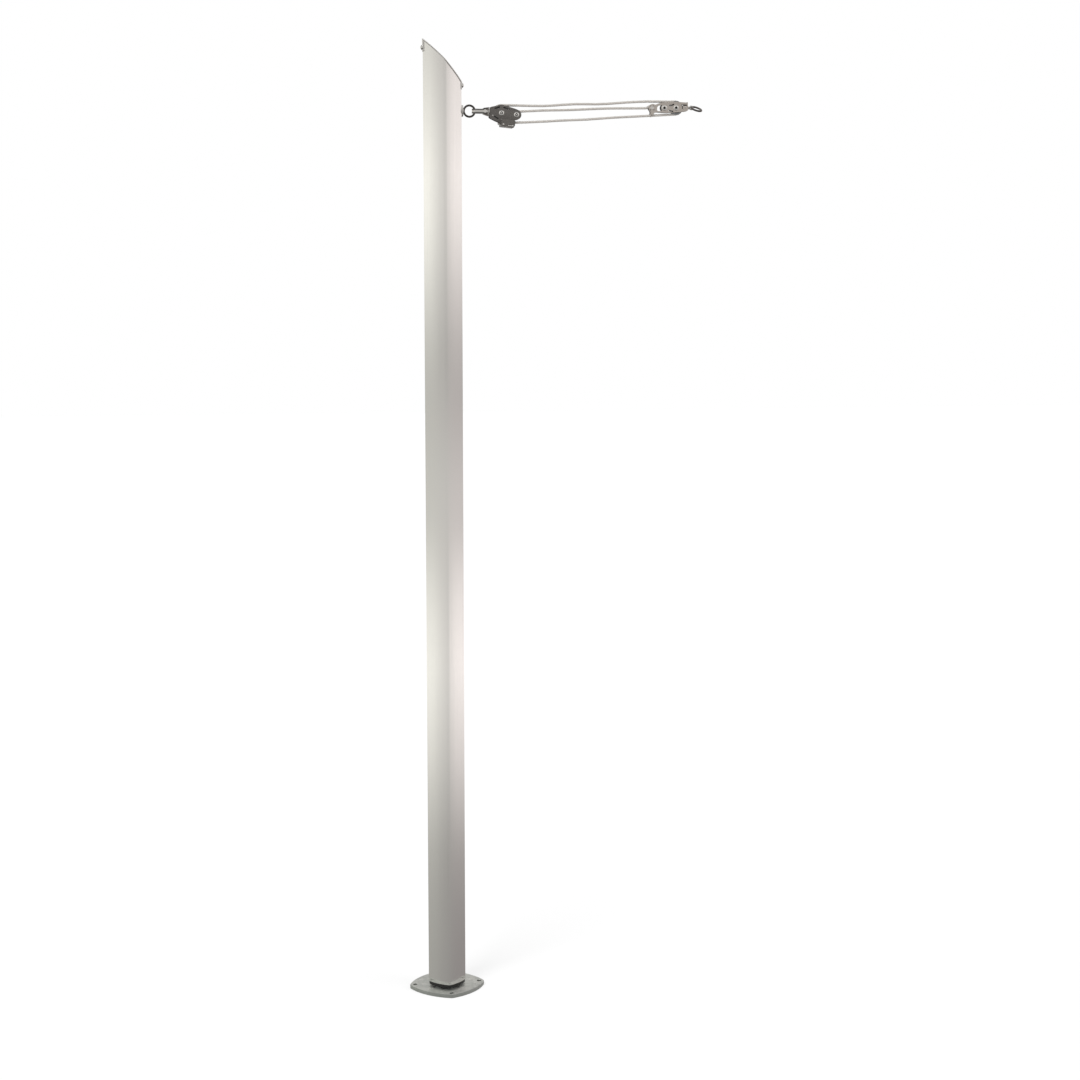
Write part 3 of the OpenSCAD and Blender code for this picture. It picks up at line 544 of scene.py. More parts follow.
# An axle across the block with the same head at both ends
def makeAxle(node):
    headRadius, recess, middle = axleSet["heads"][node]
    low, high = reach(node, 1)
    half = (high - low) / 2 / mm
    edge, shoulder, deep = axleSet["edge"], half - axleSet["headThickness"], half - axleSet["recessDepth"]
    side = [(axleSet["shaft"], 0, 0), (axleSet["shaft"], shoulder, 0), (headRadius, shoulder, 0)]
    side += arcRings(headRadius - edge, half - edge - axleSet["slope"], edge, 0, 83, 3)
    lipWidth, lipDepth = axleSet["recessLip"]
    side += [(recess + lipWidth, half, 0), (recess, half - lipDepth, 0), (recess - axleSet["recessTaper"], deep, 0)]
    if middle:
        up, soft = deep + axleSet["recessDepth"] * axleSet["driveLevel"], axleSet["driveEdge"]
        side += [(middle + soft, deep, 0), (middle, up - soft, 0), (middle - soft, up, 0), (axleSet["hub"], up, 0)]
    else:
        markRadius, markDepth = axleSet["centreMark"]
        side += [(markRadius, deep, 0), (axleSet["hub"], deep - markDepth, 0)]
    rings = [(r, -h, s) for r, h, s in reversed(side)] + side[1:]
    xs, zs = reach(node, 0), reach(node, 2)
    centre = Vector((sum(xs) / 2, (low + high) / 2, sum(zs) / 2))
    piece = joined(camelNames[node], [placed(latheMesh(node, rings), centre, (0, 1, 0))])

    # painted shade on the floor of the recess, which is in the dark; its raised middle isn't
    def recessTone(place):
        out = abs(place.y - centre.y) / mm
        across = Vector((place.x - centre.x, place.z - centre.z)).length / mm
        return axleSet["recessTone"] if across < recess - 0.1 and deep - 0.5 < out < deep + 0.05 else 0.0
    marked(piece.data, "tone", recessTone)
    setPiece(piece, slots[node], node)


for axleNode in axleSet["heads"]:
    makeAxle(axleNode)

screwSet = {
    "radius": 8.0,
    "height": 5.5,
    "skirt": 3.0,
    "skirtEdge": (0.8, 0.5),  # width and height
    "domeTop": 71,  # degrees up the dome where the socket's mouth begins
    "socket": 2.6,
    "socketLip": (0.35, 0.05, 0.3),  # width, rise before it and depth
    "socketDepth": 3.2,
    "drillTip": (0.4, 0.9),  # radius and depth of the point under the socket
    "spin": 14.0,
}


def makeCapScrew(node, side):
    radius, height, socket = screwSet["radius"], screwSet["height"], screwSet["socket"]
    dome = (radius ** 2 + height ** 2) / (2 * height)
    edge = math.degrees(math.asin((dome - height) / dome))
    edgeWidth, edgeHeight = screwSet["skirtEdge"]
    rings = [(radius - edgeWidth, -screwSet["skirt"], 0), (radius, -screwSet["skirt"] + edgeHeight, 0)]
    rings += arcRings(0, height - dome, dome, edge, screwSet["domeTop"], 9)
    mouth = rings[-1][1]
    floor = mouth - screwSet["socketDepth"]
    lipWidth, lipRise, lipDepth = screwSet["socketLip"]
    tipRadius, tipDepth = screwSet["drillTip"]
    rings += [(socket + lipWidth, mouth + lipRise, 6), (socket, mouth - lipDepth, 6), (socket, floor, 6),
              (tipRadius, floor - tipDepth, 0)]
    xs, zs = reach(node, 0), reach(node, 2)
    tip = xs[0] if side < 0 else xs[1]
    centre = (tip - side * height * mm, 0, sum(zs) / 2)
    piece = joined(camelNames[node], [placed(latheMesh(node, rings), centre, (side, 0, 0), screwSet["spin"])])
    setPiece(piece, slots[node], node)


makeCapScrew("cap_screw_high", -1)
makeCapScrew("cap_screw_low", 1)
print("axles and screws made")


# Rope
ropeSet = {
    "radius": 3.62,
    "sides": 32,
    "step": 1.0,  # mm between rings
    "pitch": 11.0,  # mm along the rope for one turn of a yarn, over the yarns each way
    "yarns": 8.0,
    "rise": 0.32,
    "sink": 0.12,
    "swell": 0.6,  # lower makes each yarn flatter on top
    "plainSides": 8,  # of the plain rope
    "ringReach": 2.2,  # points of one ring are nearer than this many radii
    "searched": 200,  # lowest points among which the end ring is looked for
}


# The rope's middle line, read ring by ring from the plain rope
def ropeLine():
    shape = bmesh.new()
    shape.from_mesh(nodes["rope"].data)
    bmesh.ops.remove_doubles(shape, verts=shape.verts, dist=1e-6)
    shape.normal_update()
    ring, near = [], ropeSet["radius"] * ropeSet["ringReach"] * mm
    for start in sorted(shape.verts, key=lambda vert: vert.co.z)[:ropeSet["searched"]]:
        for face in start.link_faces:
            flat = [vert for vert in shape.verts if abs((vert.co - start.co).dot(face.normal)) < 1e-6
                    and (vert.co - start.co).length < near]
            if len(flat) == ropeSet["plainSides"] and not ring:
                ring = flat
    seen, line = set(ring), []
    while ring:
        line.append(sum((vert.co for vert in ring), Vector()) / len(ring))
        ring = {edge.other_vert(vert) for vert in ring for edge in vert.link_edges} - seen
        seen |= ring
    shape.free()
    return line


# A round section swept along the middle line, with yarns that cross both ways
def ropeTree():
    tree, given = geometryTree("ropeBraid", {
        "Radius": "Float", "Step": "Float", "Pitch": "Float", "Yarns": "Float", "Rise": "Float", "Sink": "Float"})
    path = addNode(tree, "GeometryNodeMeshToCurve", Mesh=given["Geometry"]).outputs[0]
    path = addNode(tree, "GeometryNodeResampleCurve", {"mode": "LENGTH"}, Curve=path, Length=given["Step"]).outputs[0]
    along = addNode(tree, "GeometryNodeCaptureAttribute", Geometry=path)
    along.capture_items.new("FLOAT", "along")
    tree.links.new(tree.nodes.new("GeometryNodeSplineParameter").outputs["Length"], along.inputs[1])
    circle = addNode(tree, "GeometryNodeCurvePrimitiveCircle", Resolution=ropeSet["sides"], Radius=given["Radius"])
    around = addNode(tree, "GeometryNodeCaptureAttribute", Geometry=circle.outputs[0])
    around.capture_items.new("FLOAT", "around")
    tree.links.new(tree.nodes.new("GeometryNodeSplineParameter").outputs["Factor"], around.inputs[1])
    body = addNode(tree, "GeometryNodeCurveToMesh", _0=along.outputs[0], _1=around.outputs[0])
    body.inputs["Fill Caps"].default_value = True
    turns = mathNode(tree, "MULTIPLY", around.outputs[1], given["Yarns"])
    travel = mathNode(tree, "MULTIPLY", mathNode(tree, "DIVIDE", along.outputs[1], given["Pitch"]), given["Yarns"])
    waves = []
    for sign in ("ADD", "SUBTRACT"):
        wave = mathNode(tree, sign, turns, travel)
        waves.append(mathNode(tree, "SINE", mathNode(tree, "MULTIPLY", wave, math.pi)))
    cell = mathNode(tree, "ABSOLUTE", mathNode(tree, "MULTIPLY", waves[0], waves[1]))
    swell = mathNode(tree, "POWER", cell, ropeSet["swell"])
    height = mathNode(tree, "SUBTRACT", mathNode(tree, "MULTIPLY", swell, given["Rise"]), given["Sink"])
    normal = tree.nodes.new("GeometryNodeInputNormal").outputs[0]
    offset = addNode(tree, "ShaderNodeVectorMath", {"operation": "SCALE"}, _0=normal, Scale=height).outputs[0]
    shaped = addNode(tree, "GeometryNodeSetPosition", Geometry=body.outputs[0], Offset=offset).outputs[0]
    kept = addNode(tree, "GeometryNodeStoreNamedAttribute", {"data_type": "FLOAT"}, Geometry=shaped, Name="ropeRise",
                   Value=swell).outputs[0]
    placeNode = addNode(tree, "ShaderNodeCombineXYZ", X=along.outputs[1], Y=around.outputs[1]).outputs[0]
    kept = addNode(tree, "GeometryNodeStoreNamedAttribute", {"data_type": "FLOAT_VECTOR"}, Geometry=kept,
                   Name="ropePlace", Value=placeNode).outputs[0]
    closeTree(tree, kept, finishes["rope_braid"])
    return tree


def makeRope():
    line = ropeLine()
    mesh = bpy.data.meshes.new("rope")
    mesh.from_pydata(line, [(i, i + 1) for i in range(len(line) - 1)], [])
    piece = grown("rope", ropeTree(), mesh, {
        "Radius": ropeSet["radius"] * mm, "Step": ropeSet["step"] * mm, "Pitch": ropeSet["pitch"] * mm,
        "Yarns": ropeSet["yarns"], "Rise": ropeSet["rise"] * mm, "Sink": ropeSet["sink"] * mm})
    for polygon in piece.data.polygons:
        polygon.use_smooth = True
    setPiece(piece, "rope_braid", "rope")
    print("rope:", len(line), "points,", len(piece.data.polygons), "faces")


makeRope()


# Becket block's frame plates
# Points are in mm from the lead sheave's axle, along the block and square to it
plateSet = {
    "outline": [
        (-89.6, 1), (-88.4, -5), (-83.6, -10), (-83, -16), (-84.8, -22.3), (-83.5, -27.4), (-77.5, -27.6),
        (-74.8, -23.6), (-73, -18), (-68, -13.7), (-60, -13.2), (-50, -14.2), (-32, -15.4), (-10, -14.8), (8, -14),
        (20, -12.4), (34, -11.4), (38.4, -8.5), (39, -2), (39, 5), (38.4, 11), (38.8, 15), (37.6, 17.8), (33, 16.4),
        (27, 16.7), (17, 17.6), (-2, 18.9), (-20, 19), (-34, 18.4), (-47, 17), (-58, 13.4), (-66.5, 9.8), (-72, 12),
        (-78, 12.6), (-85, 9.6), (-88.6, 5)],
    "window": [
        (-62, -9.6), (-47.4, -9.8), (-46, -7.6), (-48.2, -3), (-48.4, 1.5), (-47, 5.2), (-44.6, 8.8), (-50.3, 8.6),
        (-59.7, 5.6), (-61.6, 0)],
    "slots": [[(-21.8, 7.2), (-12.7, 8.2), (-7.6, 10.6)], [(-23.4, -7.8), (-18.3, -9.4), (-10.6, -11.4)],
              [(18.8, 8.4), (34, 7.6)], [(20.6, 4.2), (21.2, -3)]],
    "slotWidth": 3.9,
    "postHoles": [(-5.2, 6.9), (5, 7), (6.2, -5.8), (-6, -6.2)],  # along from the becket pin
    "postHoleWidth": 3.8,
    "lugHole": (-79.5, -22.5),
    "lugHoleWidth": 4.0,
    "cornerCuts": (3.0, 1.2),  # longest cut at a corner, each time round
    "innerTone": 0.93,  # painted shade on the inner sides, which are in the dark
    "innerDepth": 0.35,
    "edgeBreak": 0.3,
    "rivet": (30.2, 1.2),
    "rivetRadius": 2.6,
    "rivetSink": 0.3,
    "rivetDome": (2.86, 1.2),  # its radius and how deep its centre lies
}


# Cuts each corner of a loop, once for each length
def cornersCut(loop, lengths):
    for length in lengths:
        cut = []
        for i, point in enumerate(loop):
            after = loop[(i + 1) % len(loop)]
            share = min(0.25, length / math.dist(point, after))
            cut += [tuple(point[k] + (after[k] - point[k]) * s for k in (0, 1)) for s in (share, 1 - share)]
        loop = cut
    return loop


def ringLoop(centre, radius, count):
    turns = [2 * math.pi * i / count for i in range(count)]
    return [(centre[0] + radius * math.cos(t), centre[1] + radius * math.sin(t)) for t in turns]


# A long hole of even width along a line of points
def slotLoop(line, width, count=6):
    sides, half = ([], []), width / 2
    for i, point in enumerate(line):
        before, after = line[max(i - 1, 0)], line[min(i + 1, len(line) - 1)]
        turn = math.atan2(after[1] - before[1], after[0] - before[0])
        for side, sign in zip(sides, (1, -1)):
            side.append((point[0] - sign * half * math.sin(turn), point[1] + sign * half * math.cos(turn)))
    ends = []
    for end, base in ((line[-1], line[-2]), (line[0], line[1])):
        turn = math.atan2(end[1] - base[1], end[0] - base[0])
        ends.append([(end[0] + half * math.cos(turn + math.pi * (0.5 - i / count)),
                      end[1] + half * math.sin(turn + math.pi * (0.5 - i / count))) for i in range(1, count)])
    return sides[0] + ends[0] + sides[1][::-1] + ends[1]


# A flat plate with holes, standing in the XZ plane from y0 to y1, in mm
def plateMesh(name, loops, y0, y1):
    shape = bmesh.new()
    for loop in loops:
        corners = [shape.verts.new((x * mm, y0 * mm, z * mm)) for x, z in loop]
        for i, corner in enumerate(corners):
            shape.edges.new((corner, corners[(i + 1) % len(corners)]))
    bmesh.ops.triangle_fill(shape, edges=shape.edges[:], use_beauty=True, use_dissolve=False)
    bmesh.ops.dissolve_limit(shape, angle_limit=math.radians(1), verts=shape.verts, edges=shape.edges,
                             delimit={"NORMAL"})
    side = bmesh.ops.extrude_face_region(shape, geom=shape.faces[:])
    moved = [item for item in side["geom"] if isinstance(item, bmesh.types.BMVert)]
    bmesh.ops.translate(shape, verts=moved, vec=(0, (y1 - y0) * mm, 0))
    bmesh.ops.recalc_face_normals(shape, faces=shape.faces[:])
    mesh = bpy.data.meshes.new(name)
    shape.to_mesh(mesh)
    shape.free()
    return mesh


# From a block's own line to the frame
def blockPlace(centre, axis):
    turn = math.atan2(axis[2], axis[0])
    return Matrix.Translation(centre) @ Matrix.Rotation(-turn, 4, "Y")


leadPlace = blockPlace(joints["lead_sheave_spin"]["pos_m"], joints["end_swivel_spin"]["axis"])
hitchAlong = (leadPlace.inverted() @ Vector([sum(reach("becket_pin", k)) / 2 for k in (0, 1, 2)])).x / mm


def makeFrame(node):
    low, high = [value / mm for value in reach(node, 1)]
    loops = [cornersCut(plateSet[part], plateSet["cornerCuts"]) for part in ("outline", "window")]
    loops += [slotLoop(line, plateSet["slotWidth"]) for line in plateSet["slots"]]
    loops += [ringLoop((hitchAlong + x, z), plateSet["postHoleWidth"] / 2, 12) for x, z in plateSet["postHoles"]]
    loops.append(ringLoop(plateSet["lugHole"], plateSet["lugHoleWidth"] / 2, 14))
    mesh = plateMesh(node, loops, low, high)
    mesh.transform(leadPlace)
    piece = edgesBroken(meshObject(camelNames[node], mesh), plateSet["edgeBreak"])
    outer, side = (low, -1) if low < 0 else (high, 1)
    inner = (min(abs(low), abs(high)) + plateSet["innerDepth"]) * mm
    # painted shade on the plate's inner side
    marked(piece.data, "tone", lambda place: plateSet["innerTone"] if abs(place.y) < inner else 0.0)
    setPiece(piece, slots[node], node)
    dome, domeDepth = plateSet["rivetDome"]
    rings = [(plateSet["rivetRadius"], -plateSet["rivetSink"], 0)] + arcRings(0, -domeDepth, dome, 30, 84, 4)
    along, across = plateSet["rivet"]
    rivet = placed(latheMesh("rivet", rings, 24), (along * mm, outer * mm, across * mm), (0, side, 0))
    rivet.transform(leadPlace)
    setPiece(joined(camelNames[node] + "Rivet", [rivet]), "polished_steel", node, False)


makeFrame("near_frame")
makeFrame("far_frame")
print("frame plates made")


# Cleat block's cheeks
# Points are in mm from the cross pin, along the block and square to it
cheekSet = {
    "outline": [
        (14.9, -18.4), (25.7, -22.8), (36, -26.4), (49, -30.5), (53, -30.5), (54, -19.5), (85, -19.5), (99, -16.4),
        (107, -14), (113, -8.5), (115.6, -1), (114, 6.5), (108.4, 13), (99, 16.8), (84, 19.9), (72.6, 22), (61, 24.3),
        (52, 25.4), (44, 24), (35.2, 21), (25, 17.6), (14.9, 14.4)],
    "slots": [[(30.5, 11.6), (43.5, 17.6)], [(58.5, 17.4), (74.5, 15)], [(30.5, -12.6), (42.5, -18.2)]],
    "slotWidth": 4.2,
    "cornerCuts": (2.0, 0.8),
    "edgeBreak": 0.5,
    "innerTone": 1.0,  # painted shade on the slots' walls and the inner side, which are in the dark
    "outerDepth": 0.8,
}


def makeCheek(node):
    low, high = [value / mm for value in reach(node, 1)]
    loops = [cornersCut(cheekSet["outline"], cheekSet["cornerCuts"])]
    loops += [slotLoop(line, cheekSet["slotWidth"]) for line in cheekSet["slots"]]
    mesh = plateMesh(node, loops, low, high)
    mesh.transform(cleatPlace)
    piece = edgesBroken(meshObject(camelNames[node], mesh), cheekSet["edgeBreak"], 3)
    outer = (max(abs(low), abs(high)) - cheekSet["outerDepth"]) * mm
    # painted shade on the cheek's inner side and slot walls
    marked(piece.data, "tone", lambda place: cheekSet["innerTone"] if abs(place.y) < outer else 0.0)
    setPiece(piece, slots[node], node)


cleatPlace = blockPlace(joints["block_pitch"]["pos_m"], joints["block_swivel"]["axis"])
makeCheek("near_cheek")
makeCheek("far_cheek")
print("cheeks made")


# Swivel between the shackle and the cleat block
swivelSet = {
    "outline": [(13.6, -14), (13.6, 14), (9.5, 13.2), (2, 11.4), (-3, 10.4), (-8, 7.4), (-10.6, 2.6),
                (-10.8, -2.6), (-8.2, -7.6), (-3.4, -10.6), (4, -12.4), (9.5, -13.6)],
    "cornerCuts": (1.5, 0.6),
    "edgeBreak": 0.7,
    "halfWidth": 5.7,
    "bell": [(11.0, 9.6), (12.2, 10.6), (13.9, 13.2), (13.9, 13.7)],  # radius and place along the block
    "ring": [(12.4, 10.9), (13.6, 11.1), (14.1, 11.6), (14.1, 12.5), (13.6, 12.9), (12.4, 13.0)],
    "roundSteps": 64,
    "stud": 4.0,
    "button": [(5.0, 19.8), (5.0, 23.0)],
    "studSteps": 32,
}


# A round part along the block's line, from (radius, place along it) rings
def turnedPart(name, profile, steps):
    return placed(latheMesh(name, [(radius, along, 0) for radius, along in profile], steps), (0, 0, 0), (1, 0, 0))


def makeSwivel():
    end, half = swivelSet["bell"][-1][1], swivelSet["halfWidth"]
    body = plateMesh("body", [cornersCut(swivelSet["outline"], swivelSet["cornerCuts"])], -half, half)
    bell = turnedPart("bell", swivelSet["bell"], swivelSet["roundSteps"])
    button = swivelSet["button"]
    shank = [(swivelSet["stud"], end - 1), (swivelSet["stud"], button[0][1])]
    stud = turnedPart("stud", shank + button, swivelSet["studSteps"])
    piece = edgesBroken(joined("swivelPost", [body, bell, stud]), swivelSet["edgeBreak"], 3)
    piece.data.transform(cleatPlace)
    setPiece(piece, slots["swivel_post"], "swivel_post")
    ring = turnedPart("ring", swivelSet["ring"], swivelSet["roundSteps"])
    ring.transform(cleatPlace)
    setPiece(joined("swivelRing", [ring]), "polished_steel", "swivel_post", False)


makeSwivel()
print("swivel made")


# Shackle strap
strapSet = {
    "edgeBreak": 1.3,
    "shades": [(7.0, 0.9), (4.4, 0.88), (3.0, 0.35), (1.0, 0.05)],  # mm from the middle line, and the painted shade there, darkest at the strap's top and bottom
}


# Cuts a mesh along planes, each a point and a normal, so that marks can change there
def sliced(mesh, planes):
    shape = bmesh.new()
    shape.from_mesh(mesh)
    for point, normal in planes:
        bmesh.ops.bisect_plane(shape, geom=shape.verts[:] + shape.edges[:] + shape.faces[:], dist=1e-6,
                               plane_co=point, plane_no=normal)
    shape.to_mesh(mesh)
    shape.free()


def makeStrap():
    piece = rounded("shackle_strap", strapSet["edgeBreak"], 4)
    middle = sum(reach("shackle_strap", 2)) / 2
    shades = strapSet["shades"]
    sliced(piece.data, [((0, 0, middle + side * distance * mm), (0, 0, 1)) for distance, tone in shades[1:]
                        for side in (-1, 1)])

    # painted shade, dark at the strap's top and bottom and fading towards its middle
    def shadeAt(place):
        away = abs(place.z - middle) / mm
        for (far, dark), (near, light) in zip(shades, shades[1:]):
            if away > near:
                return light + (dark - light) * min((away - near) / (far - near), 1.0)
        return shades[-1][1]
    marked(piece.data, "tone", shadeAt)
    setPiece(piece, slots["shackle_strap"], "shackle_strap")


makeStrap()
print("shackle strap made")


# Pieces that keep their own shape, with broken edges
edgeBreaks = {  # width in mm and steps
    "base_plate": (1.6, 3), "foot_collar": (0.8, 2), "top_cap": (0.5, 2), "eye_washer": (0.8, 3),
    "shackle_pin": (0.8, 3), "block_head": (0.6, 2), "cleat_bracket": (0.5, 2), "becket_pin": (0.8, 3),
    "end_swivel": (0.5, 2),
}
plainBreak = (0.4, 2)
# How dark a piece is (tone), and by how much rougher than its finish (satin); the end head's darkness is painted
# shade behind the frame plates' slots, the eye bolt's is its darker steel
pieceMarks = {
    "eye_washer": (0.0, 0.45), "top_cap": (0.0, 0.4), "eye_bolt": (0.25, 0.0), "end_head": (0.97, 0.4),
    "end_swivel": (0.0, 0.45),
}
# The head block, darkened as painted shade, reaches up and down between the frame plates, behind their tail slots
headSet = {
    "middle": 5.5,  # mm either side of the block's line that stays as it is
    "rise": 5.2,
    "fall": 2.0,
}
# The foot plate is duller below its top face
footSet = {
    "sideSatin": 0.4,
    "topDepth": 1.0,  # mm
}
# A sheave gets painted shade where it is in the dark between the plates; only the lead sheave shows a pale rim
sheaveSet = {
    "squares": 2.5,  # mm between the cuts that let the marks change
    "rimDepth": 5.0,
    "innerTone": 0.9,
    "pale": ["lead_sheave"],
}


def stretchHead(piece):
    for vertex in piece.data.vertices:
        place = leadPlace.inverted() @ vertex.co
        if abs(place.z) > headSet["middle"] * mm:
            place.z += (headSet["rise"] if place.z > 0 else -headSet["fall"]) * mm
        vertex.co = leadPlace @ place


def markFoot(piece):
    top = reach("base_plate", 2)[1] - footSet["topDepth"] * mm
    marked(piece.data, "satin", lambda place: footSet["sideSatin"] if place.z < top else 0.0)


def markSheave(piece, node):
    axis = Vector(joints[node + "_spin"]["pos_m"])
    step = sheaveSet["squares"]
    across = max((vertex.co - axis).length for vertex in piece.data.vertices) / mm
    counts = range(-int(across / step), int(across / step) + 1)
    sliced(piece.data, [(axis + Vector(normal) * k * step * mm, normal) for k in counts
                        for normal in ((1, 0, 0), (0, 0, 1))])
    rim = max(reach(node, 2)) - axis.z - sheaveSet["rimDepth"] * mm

    def atRim(place):
        return math.hypot(place.x - axis.x, place.z - axis.z) > rim
    # painted shade on the sheave inside its rim
    marked(piece.data, "tone", lambda place: 0.0 if atRim(place) else sheaveSet["innerTone"])
    marked(piece.data, "pale", lambda place: 1.0 if node in sheaveSet["pale"] and atRim(place) else 0.0)


for node in nodes:
    if node not in finished:
        piece = rounded(node, *edgeBreaks.get(node, plainBreak))
        for mark, value in zip(("tone", "satin"), pieceMarks.get(node, ())):
            marked(piece.data, mark, lambda place: value)
        if node == "end_head":
            stretchHead(piece)
        if node == "base_plate":
            markFoot(piece)
        if node.endswith("_sheave"):
            markSheave(piece, node)
        setPiece(piece, slots[node], node)
print("pieces rounded:", len(finished))


# Small fittings of the cleat block
# Places are in mm from the cross pin, along the block and square to it
fittingSet = {
    "rivet": (25.6, -10.6, 1.7),  # along, across, radius
    "rivetHeight": 0.8,
    "screw": (59.4, -34.5, 2.6),
    "screwHeight": 0.6,
    "headSide": 0.35,  # the straight share of a head's height
    "headSink": 0.3,
    "strip": (75.2, 91.2, -36.6),  # start, end, across
    "stripWidth": 1.9,
    "stripStep": 0.25,  # how far it stands out
    "stripSink": 0.6,
}


def headMesh(radius, height):
    side = fittingSet["headSide"]
    rings = [(radius, -fittingSet["headSink"], 0), (radius, height * side, 0)]
    for turn in (math.radians(degrees) for degrees in (30, 55, 80)):
        rings.append((radius * math.cos(turn), height * (side + (1 - side) * math.sin(turn)), 0))
    return latheMesh("head", rings, 24)


def makeFittings(node, side):
    cheek = max(abs(value) for value in reach(node, 1))
    wall = max(abs(value) for value in reach("cleat_bracket", 1))
    parts = []
    for name, surface in (("rivet", cheek), ("screw", wall)):
        x, z, radius = fittingSet[name]
        head = headMesh(radius, fittingSet[name + "Height"])
        parts.append(placed(head, (x * mm, side * surface, z * mm), (0, side, 0)))
    start, end, across = fittingSet["strip"]
    levels = [side * (wall / mm - fittingSet["stripSink"]), side * (wall / mm + fittingSet["stripStep"])]
    loop = slotLoop([(start, across), (end, across)], fittingSet["stripWidth"])
    parts.append(plateMesh("strip", [loop], min(levels), max(levels)))
    for part in parts:
        part.transform(cleatPlace)
    setPiece(joined(camelNames[node] + "Fittings", parts), "polished_steel", node, False)


makeFittings("near_cheek", -1)
makeFittings("far_cheek", 1)
print("fittings made")


# Studio
studioSet = {
    "floorSize": 60.0,
    "floorDrop": 0.0005,
    "floorWhite": 0.8,
    "shadowShare": 0.3,  # how much of the shadow on the floor shows
    "skyLevel": 0.7,
    "keySun": ((0.5, 0.62, -0.75), 2.2, 25),  # direction, strength, spread in degrees
    "fillSun": ((-0.75, 0.45, -0.6), 1.0, 40),
    # the tube's satin sides mirror only these pieces
    "mirrored": ["base_plate", "lower_mast", "upper_mast", "top_cap"],
    # where one part of the studio turns into the next, as a direction's share from -1 to 1
    "leftTurn": (-0.85, 0.25),
    "rightTurn": (-0.85, 0.10),
    "sideTurn": (-0.4, 0.4),
    "upperLevel": 0.28,  # above the bands
    "upperTurn": (0.38, 0.60),
    "overheadGlow": 1.1,
    "overheadTurn": (0.80, 0.95),
    "tints": [(1.005, 1.0, 0.94), (1.025, 1.0, 0.965), (1.06, 1.0, 0.98)],  # left, front, right
    # brightness at each elevation towards the left, the front and the right of the studio
    "bands": [
        (-30, 0.15, 0.15, 0.13), (-22, 0.33, 0.28, 0.25), (-17.5, 0.41, 0.33, 0.30), (-15.5, 0.46, 0.34, 0.37),
        (-13, 0.78, 0.57, 0.71), (-10.5, 1.05, 0.76, 1.02), (-8.5, 0.88, 0.65, 0.87), (-6.6, 0.63, 0.57, 0.60),
        (-5.5, 0.62, 0.60, 0.60), (-3.2, 0.54, 0.47, 0.46), (-1.8, 0.60, 0.43, 0.50), (-0.5, 0.76, 0.53, 0.63),
        (1.2, 1.00, 0.64, 0.86), (2.8, 1.09, 0.70, 0.99), (4.5, 0.92, 0.64, 0.90), (6.5, 0.72, 0.52, 0.80),
        (11, 0.80, 0.85, 0.80), (16, 0.82, 1.0, 0.82), (30, 0.90, 0.90, 0.90)],
}


# A floor that glows white to the camera and takes a faint shadow
def makeFloor():
    half = studioSet["floorSize"] / 2
    mesh = bpy.data.meshes.new("floor")
    z = -studioSet["floorDrop"]
    mesh.from_pydata([(-half, -half, z), (half, -half, z), (half, half, z), (-half, half, z)], [], [(0, 1, 2, 3)])
    floor = meshObject("floor", mesh)
    floor.visible_glossy = False
    material, tree, shader = newMaterial("floorWhite")
    white = studioSet["floorWhite"]
    shader.inputs["Base Color"].default_value = (white, white, white, 1)
    shader.inputs["Roughness"].default_value = 1.0
    shader.inputs["Specular IOR Level"].default_value = 0.0
    plain = shader.outputs[0]
    glow = addNode(tree, "ShaderNodeEmission", Strength=1.0).outputs[0]
    seen = addNode(tree, "ShaderNodeMixShader", _0=studioSet["shadowShare"], _1=glow, _2=plain).outputs[0]
    rays = tree.nodes.new("ShaderNodeLightPath").outputs
    shown = addNode(tree, "ShaderNodeMixShader", _0=rays["Is Camera Ray"], _1=plain, _2=seen).outputs[0]
    tree.links.new(shown, tree.nodes["Material Output"].inputs[0])
    mesh.materials.append(material)


def smoothShare(tree, value, turn, top=1.0):
    smooth = {"interpolation_type": "SMOOTHSTEP"}
    return addNode(tree, "ShaderNodeMapRange", smooth, _0=value, _1=turn[0], _2=turn[1], _3=0.0, _4=top).outputs[0]


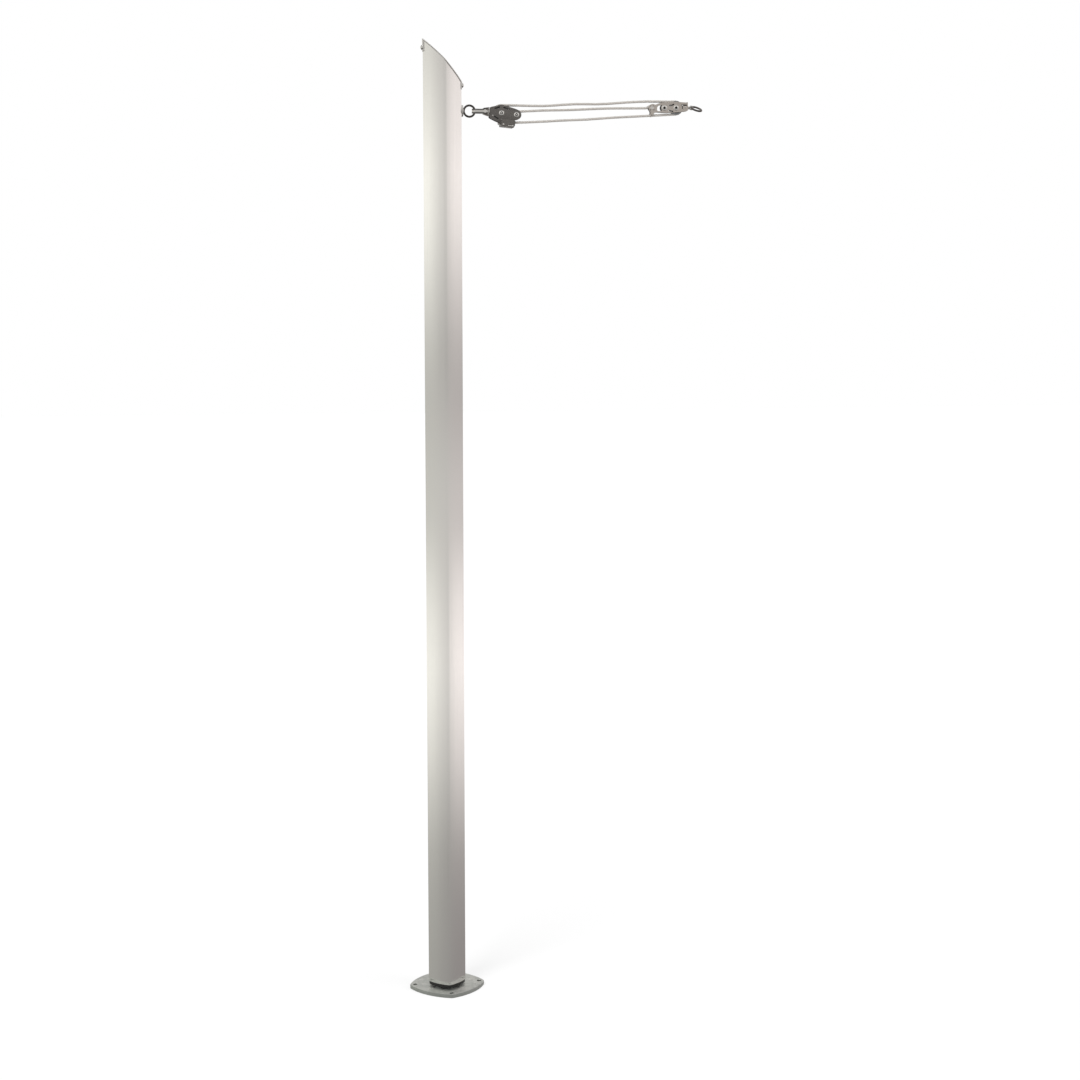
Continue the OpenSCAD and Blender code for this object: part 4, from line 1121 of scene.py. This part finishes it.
# Shiny pieces mirror the bands of the studio; the camera sees plain white and other rays a level sky
def makeWorld():
    world = bpy.data.worlds.new("studio")
    bpy.context.scene.world = world
    world.use_nodes = True
    tree = world.node_tree
    tree.nodes.clear()
    direction = tree.nodes.new("ShaderNodeTexCoord").outputs["Generated"]
    axes = addNode(tree, "ShaderNodeSeparateXYZ", Vector=direction).outputs
    height = mathNode(tree, "MULTIPLY_ADD", axes[2], 1.0, 0.5)
    ramps = [rampNode(tree, height, [(0.5 + math.sin(math.radians(row[0])), [row[i] * share for share in tint])
                                     for row in studioSet["bands"]]) for i, tint in enumerate(studioSet["tints"], 1)]
    squares = [mathNode(tree, "MULTIPLY", axis, axis) for axis in axes[:2]]
    level = mathNode(tree, "SQRT", mathNode(tree, "ADD", mathNode(tree, "ADD", squares[0], squares[1]), 1e-6))
    across = mathNode(tree, "DIVIDE", axes[0], level)
    behind = mathNode(tree, "DIVIDE", axes[1], level)
    left = mixColour(tree, smoothShare(tree, behind, studioSet["leftTurn"]), ramps[1], ramps[0])
    right = mixColour(tree, smoothShare(tree, behind, studioSet["rightTurn"]), ramps[1], ramps[2])
    lit = mixColour(tree, smoothShare(tree, across, studioSet["sideTurn"]), left, right)
    lit = mixColour(tree, smoothShare(tree, axes[2], studioSet["upperTurn"]), lit, (studioSet["upperLevel"],) * 3)
    glow = smoothShare(tree, axes[2], studioSet["overheadTurn"], studioSet["overheadGlow"])
    lit = mixColour(tree, 1.0, lit, glow, "ADD")
    rays = tree.nodes.new("ShaderNodeLightPath").outputs
    shine = addNode(tree, "ShaderNodeBackground", Color=lit, Strength=1.0).outputs[0]
    sky = addNode(tree, "ShaderNodeBackground", Color=(1, 1, 1, 1), Strength=studioSet["skyLevel"]).outputs[0]
    white = addNode(tree, "ShaderNodeBackground", Color=(1, 1, 1, 1), Strength=1.0).outputs[0]
    unseen = addNode(tree, "ShaderNodeMixShader", _0=rays["Is Glossy Ray"], _1=sky, _2=shine).outputs[0]
    shown = addNode(tree, "ShaderNodeMixShader", _0=rays["Is Camera Ray"], _1=unseen, _2=white).outputs[0]
    tree.links.new(shown, tree.nodes.new("ShaderNodeOutputWorld").inputs[0])


def sunLight(name, towards, strength, spread):
    data = bpy.data.lights.new(name, "SUN")
    data.energy = strength
    data.angle = math.radians(spread)
    lamp = bpy.data.objects.new(name, data)
    lamp.rotation_euler = Vector(towards).to_track_quat("-Z", "Y").to_euler()
    lamp.visible_glossy = False
    bpy.context.scene.collection.objects.link(lamp)


for node in nodes:
    finished[node].visible_glossy = node in studioSet["mirrored"]
for piece in extras:
    piece.visible_glossy = False
makeFloor()
makeWorld()
sunLight("keyLight", *studioSet["keySun"])
sunLight("fillLight", *studioSet["fillSun"])
bpy.context.scene.view_settings.view_transform = "Standard"
print("studio set")
